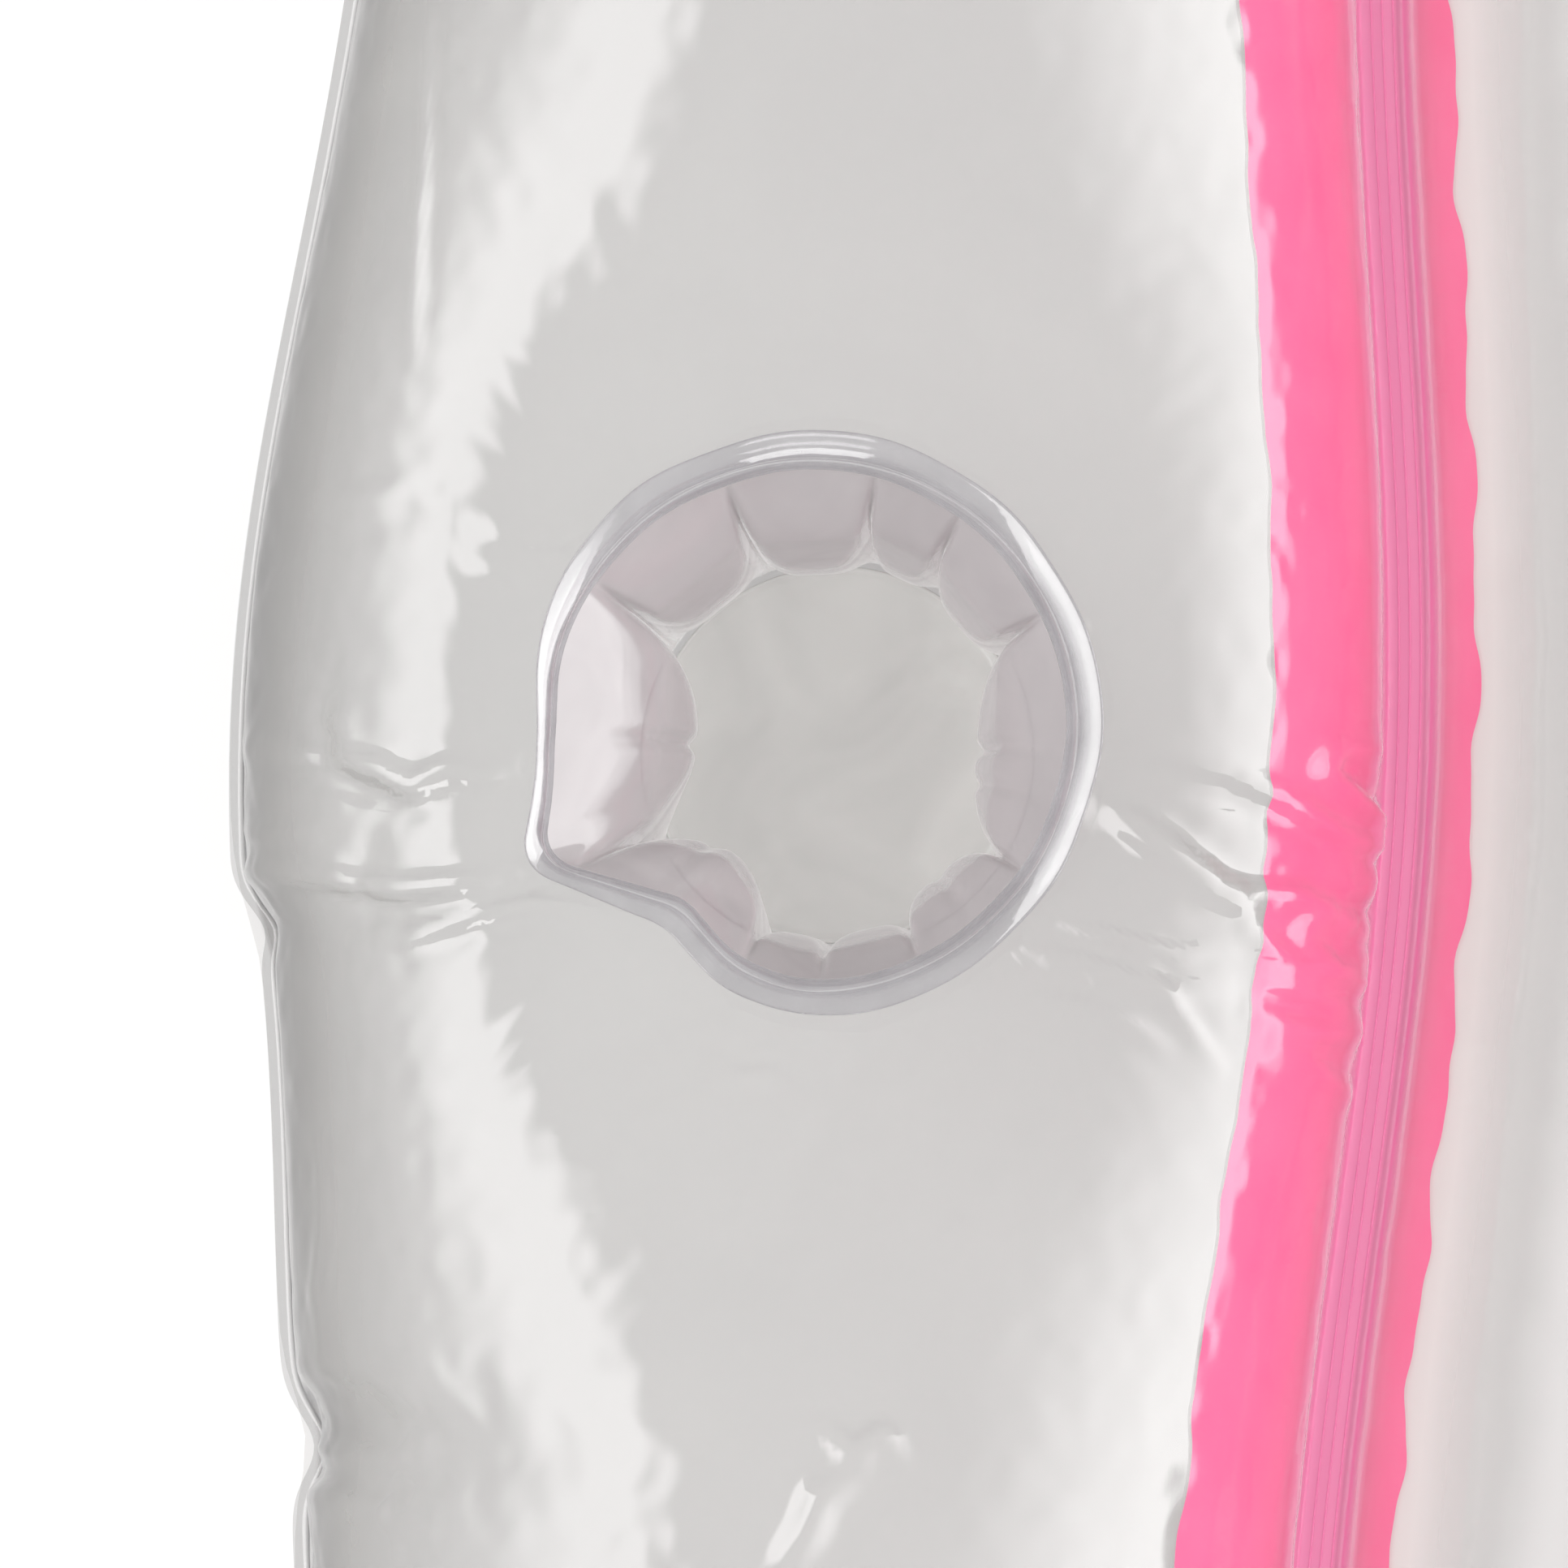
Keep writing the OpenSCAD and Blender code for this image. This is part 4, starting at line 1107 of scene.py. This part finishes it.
def weld_ribs(name, paths, count, pitch, radius, finish, body, slot):
    """Ribs along one or more lines of points."""
    points = []
    edges = []
    for path in paths:
        first = len(points)
        points += path.tolist()
        edges += [(v, v + 1) for v in range(first, len(points) - 1)]
    line = new_mesh(name, points, [], edges)
    grown = line.modifiers.new("ribs", "NODES")
    grown.node_group = ribs
    sizes = {"Ribs": count, "Pitch": Vector(pitch) * MM, "Radius": radius * MM, "Finish": finish}
    for item in ribs.interface.items_tree:
        if item.in_out == "INPUT" and item.name in sizes:
            grown[item.identifier] = sizes[item.name]
    solid = bpy.data.meshes.new_from_object(settled(line))
    bpy.data.objects.remove(line)
    smooth_faces(solid)
    made = bpy.data.objects.new(name, solid)
    scene.collection.objects.link(made)
    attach(made, body)


def valley_line(rows, film, j):
    """The line of a weld between two tubes, on top of its film."""
    line = column(*film, j, rows)
    return np.column_stack([line[:, 0], rows, line[:, 1] + FILM])


def level_line(x, y):
    """A line on top of the film in the weld plane."""
    return np.column_stack([x, y + 0 * x, np.full(len(x), SEAM + FILM)])


valleys = [valley_line(long_rows, left_top, rail_cols - 1)]
valleys += [valley_line(short_rows, bed_top, tube_start(k) - 2) for k in range(1, TUBES)]
valleys += [valley_line(long_rows, right_top, 0)]
weld_ribs("strip_weld_ribs", valleys, count=5, pitch=(1.9, 0, 0), radius=0.22, finish=pink_film,
          body="mat", slot="pink_film")
END_RIBS = {"count": 3, "pitch": (0, 2.4, 0), "radius": 0.35, "finish": clear_film, "slot": "clear_film"}
whole_x = np.linspace(SHIFT - RAIL_OUTER, SHIFT + RAIL_OUTER, 60)
ends = [level_line(whole_x, FOOT - END_MARGIN / 2), level_line(whole_x, HEAD + WELD / 2)]
weld_ribs("end_weld_ribs", ends, body="mat", **END_RIBS)
pillow_x = np.linspace(SHIFT - PILLOW_HALF, SHIFT + PILLOW_HALF, 80)
pillow_far = level_line(pillow_x, pillow_edge(pillow_x) + END_MARGIN / 2)
pillow_near = level_line(pillow_x, PILLOW_NEAR - WELD / 2)
weld_ribs("pillow_weld_ribs", [pillow_far, pillow_near], body="pillow", **END_RIBS)

# Web of film along the line that the pillow folds about
WEB_ROWS = (0.0, 0.5, 1.2, 2.2, 3.5, 5.0, 7.0)      # out from the fold on both sides
WEB_LIFT = 0.25             # how far the web lies off the films below it
WEB_BEAD = 0.9              # height of the bead along the fold
WEB_BEAD_W = 0.8
web_off = np.array([-y for y in WEB_ROWS[:0:-1]] + list(WEB_ROWS))
web_up = SEAM + FILM + WEB_LIFT + WEB_BEAD * bell(web_off / WEB_BEAD_W)
web_points = [(x, FOLD_Y + y, z) for y, z in zip(web_off, web_up) for x in whole_x]
web = piece("fold_web", web_points, grid_faces(len(web_off), len(whole_x)), clear_film, None,
            ["pillow_weld_bead"])
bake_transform(web)

# Valves keep their moulded shapes
for valve in VALVES:
    for part in ("flange", "neck", "stopper", "flap"):
        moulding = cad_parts["%s_valve_%s" % (valve, part)]
        moulding.data.materials.clear()
        moulding.data.materials.append(valve_plastic)


# Floor, light and camera, in metres where nothing else is said

FLOOR_HALF = 9000.0         # millimetres
PAPER_CLOUD_MM = 1000 / 3
SHADOW_HALF_W = 0.75        # half the width and length round the mat where the floor keeps its shadow
SHADOW_HALF_L = 1.25
SHADOW_FADE = (0.9, 2.0)    # where the shadow starts to fade and where it is gone, in those halves
SHADOW_GLOW = 0.35          # share of plain white under the mat
ROOM_LIGHT = 0.34           # strength of the light from all round
ROOM_SEEN = 0.9             # and of the white that is seen there


def pale_floor():
    """White paper that keeps the shadow of the mat and turns plain white away from it."""
    made, tree = finish_tree("white_paper_sweep")
    place = add(tree, "ShaderNodeTexCoord").outputs["Object"]
    colour = tint(tree, noise(tree, place, PAPER_CLOUD_MM), "#f6f5f4", "#fbfaf9")
    paper = add(tree, "ShaderNodeBsdfDiffuse", {"Color": colour})
    glow = add(tree, "ShaderNodeEmission", {"Color": (1, 1, 1, 1), "Strength": 1.0})
    spread = add(tree, "ShaderNodeVectorMath", {0: place, 1: (1 / SHADOW_HALF_W, 1 / SHADOW_HALF_L, 0)},
                 operation="MULTIPLY")
    away = add(tree, "ShaderNodeVectorMath", {0: spread.outputs["Vector"]}, operation="LENGTH")
    bright = ramp(tree, away.outputs["Value"], SHADOW_FADE, (SHADOW_GLOW, 1.0))
    share = maths(tree, "MULTIPLY", seen_ray(tree), bright)
    mixed = add(tree, "ShaderNodeMixShader", {"Fac": share, 1: paper.outputs["BSDF"],
                                              2: glow.outputs["Emission"]})
    add(tree, "ShaderNodeOutputMaterial", {"Surface": mixed.outputs["Shader"]})
    return made


floor_corners = [(x * FLOOR_HALF, y * FLOOR_HALF, 0) for x, y in ((-1, -1), (1, -1), (1, 1), (-1, 1))]
floor = new_mesh("floor", floor_corners, [(0, 1, 2, 3)])
floor.data.materials.append(pale_floor())


def studio_light():
    """A white room: even soft light, seen as plain white in the background and in reflections."""
    made = bpy.data.worlds.new("studio")
    made.use_nodes = True
    tree = made.node_tree
    tree.nodes.clear()
    level = ramp(tree, seen_ray(tree), levels=(ROOM_LIGHT, ROOM_SEEN))
    sky = add(tree, "ShaderNodeBackground", {"Color": srgb("#fdfcfc"), "Strength": level})
    add(tree, "ShaderNodeOutputWorld", {"Surface": sky.outputs["Background"]})
    return made


scene.world = studio_light()

LAMP_DISTANCE = 2.4
rim_centre = Vector((CUP[0] * MM, CUP[1] * MM, (CUP_Z + RIM_UP) * MM))


def turned(right, back, place):
    """Where an object stands that has its own X to the right and its own Z to the back."""
    return Matrix.Translation(place) @ Matrix((right, back.cross(right), back)).transposed().to_4x4()


def soft_box(name, azimuth, elevation, wide, tall, radiance, fade):
    """A lamp panel facing the cup. Its light follows from how bright its face is, and its face
    fades out over a share of its height at the lower and the upper edge."""
    lamp = bpy.data.lights.new(name, "AREA")
    lamp.shape = "RECTANGLE"
    lamp.size = wide
    lamp.size_y = tall
    lamp.energy = math.pi * wide * tall * radiance
    lamp.use_nodes = True
    tree = lamp.node_tree
    tree.nodes.clear()
    up = add(tree, "ShaderNodeSeparateXYZ", {
        "Vector": add(tree, "ShaderNodeNewGeometry").outputs["Parametric"]}).outputs["Y"]
    low = ramp(tree, up, (0.0, fade[0]), kind="SMOOTHSTEP")
    high = ramp(tree, up, (1.0, 1.0 - fade[1]), kind="SMOOTHSTEP")
    glow = add(tree, "ShaderNodeEmission", {"Strength": maths(tree, "MULTIPLY", low, high)})
    add(tree, "ShaderNodeOutputLight", {"Surface": glow.outputs["Emission"]})
    made = bpy.data.objects.new(name, lamp)
    scene.collection.objects.link(made)
    a = math.radians(azimuth)
    e = math.radians(elevation)
    away = Vector((math.cos(a) * math.cos(e), math.sin(a) * math.cos(e), math.sin(e)))
    level = Vector((0, 0, 1)).cross(away).normalized()
    made.matrix_world = turned(level, away, rim_centre + away * LAMP_DISTANCE)


soft_box("left_panel", azimuth=180, elevation=46, wide=2.6, tall=2.3, radiance=4.4, fade=(0.6, 0.22))
soft_box("right_panel", azimuth=0, elevation=36, wide=2.6, tall=3.4, radiance=5.0, fade=(0.12, 0.88))
soft_box("foot_panel", azimuth=270, elevation=34, wide=1.0, tall=0.55, radiance=5.0, fade=(0.2, 0.2))

scene.cycles.transparent_max_bounces = 64
scene.view_settings.view_transform = "Standard"

# The camera looks almost straight down at the cup, with the mat turned a little in the frame
ROLL = math.radians(2.1)
LEAN = math.radians(3.7)
DISTANCE = 3.0
VIEW_WIDTH = 0.2676         # what the frame takes in at the height of the rim
AIM_RIGHT = -0.0042         # middle of the frame, from the middle of the rim
AIM_UP = -0.0104
SENSOR = 36.0               # millimetres
image_right = Vector((math.cos(ROLL), math.sin(ROLL), 0))
image_up = Vector((-math.sin(ROLL), math.cos(ROLL), 0))
lean_to = (image_right - image_up).normalized()
aim = rim_centre + image_right * AIM_RIGHT + image_up * AIM_UP
back = (Vector((0, 0, 1)) * math.cos(LEAN) + lean_to * math.sin(LEAN)).normalized()
across_view = (image_right - back * image_right.dot(back)).normalized()
camera = bpy.data.objects.new("camera", bpy.data.cameras.new("camera"))
scene.collection.objects.link(camera)
camera.matrix_world = turned(across_view, back, aim + back * DISTANCE)
camera.data.sensor_width = SENSOR
camera.data.lens = SENSOR * DISTANCE / VIEW_WIDTH
camera.data.clip_end = 60.0
scene.camera = camera
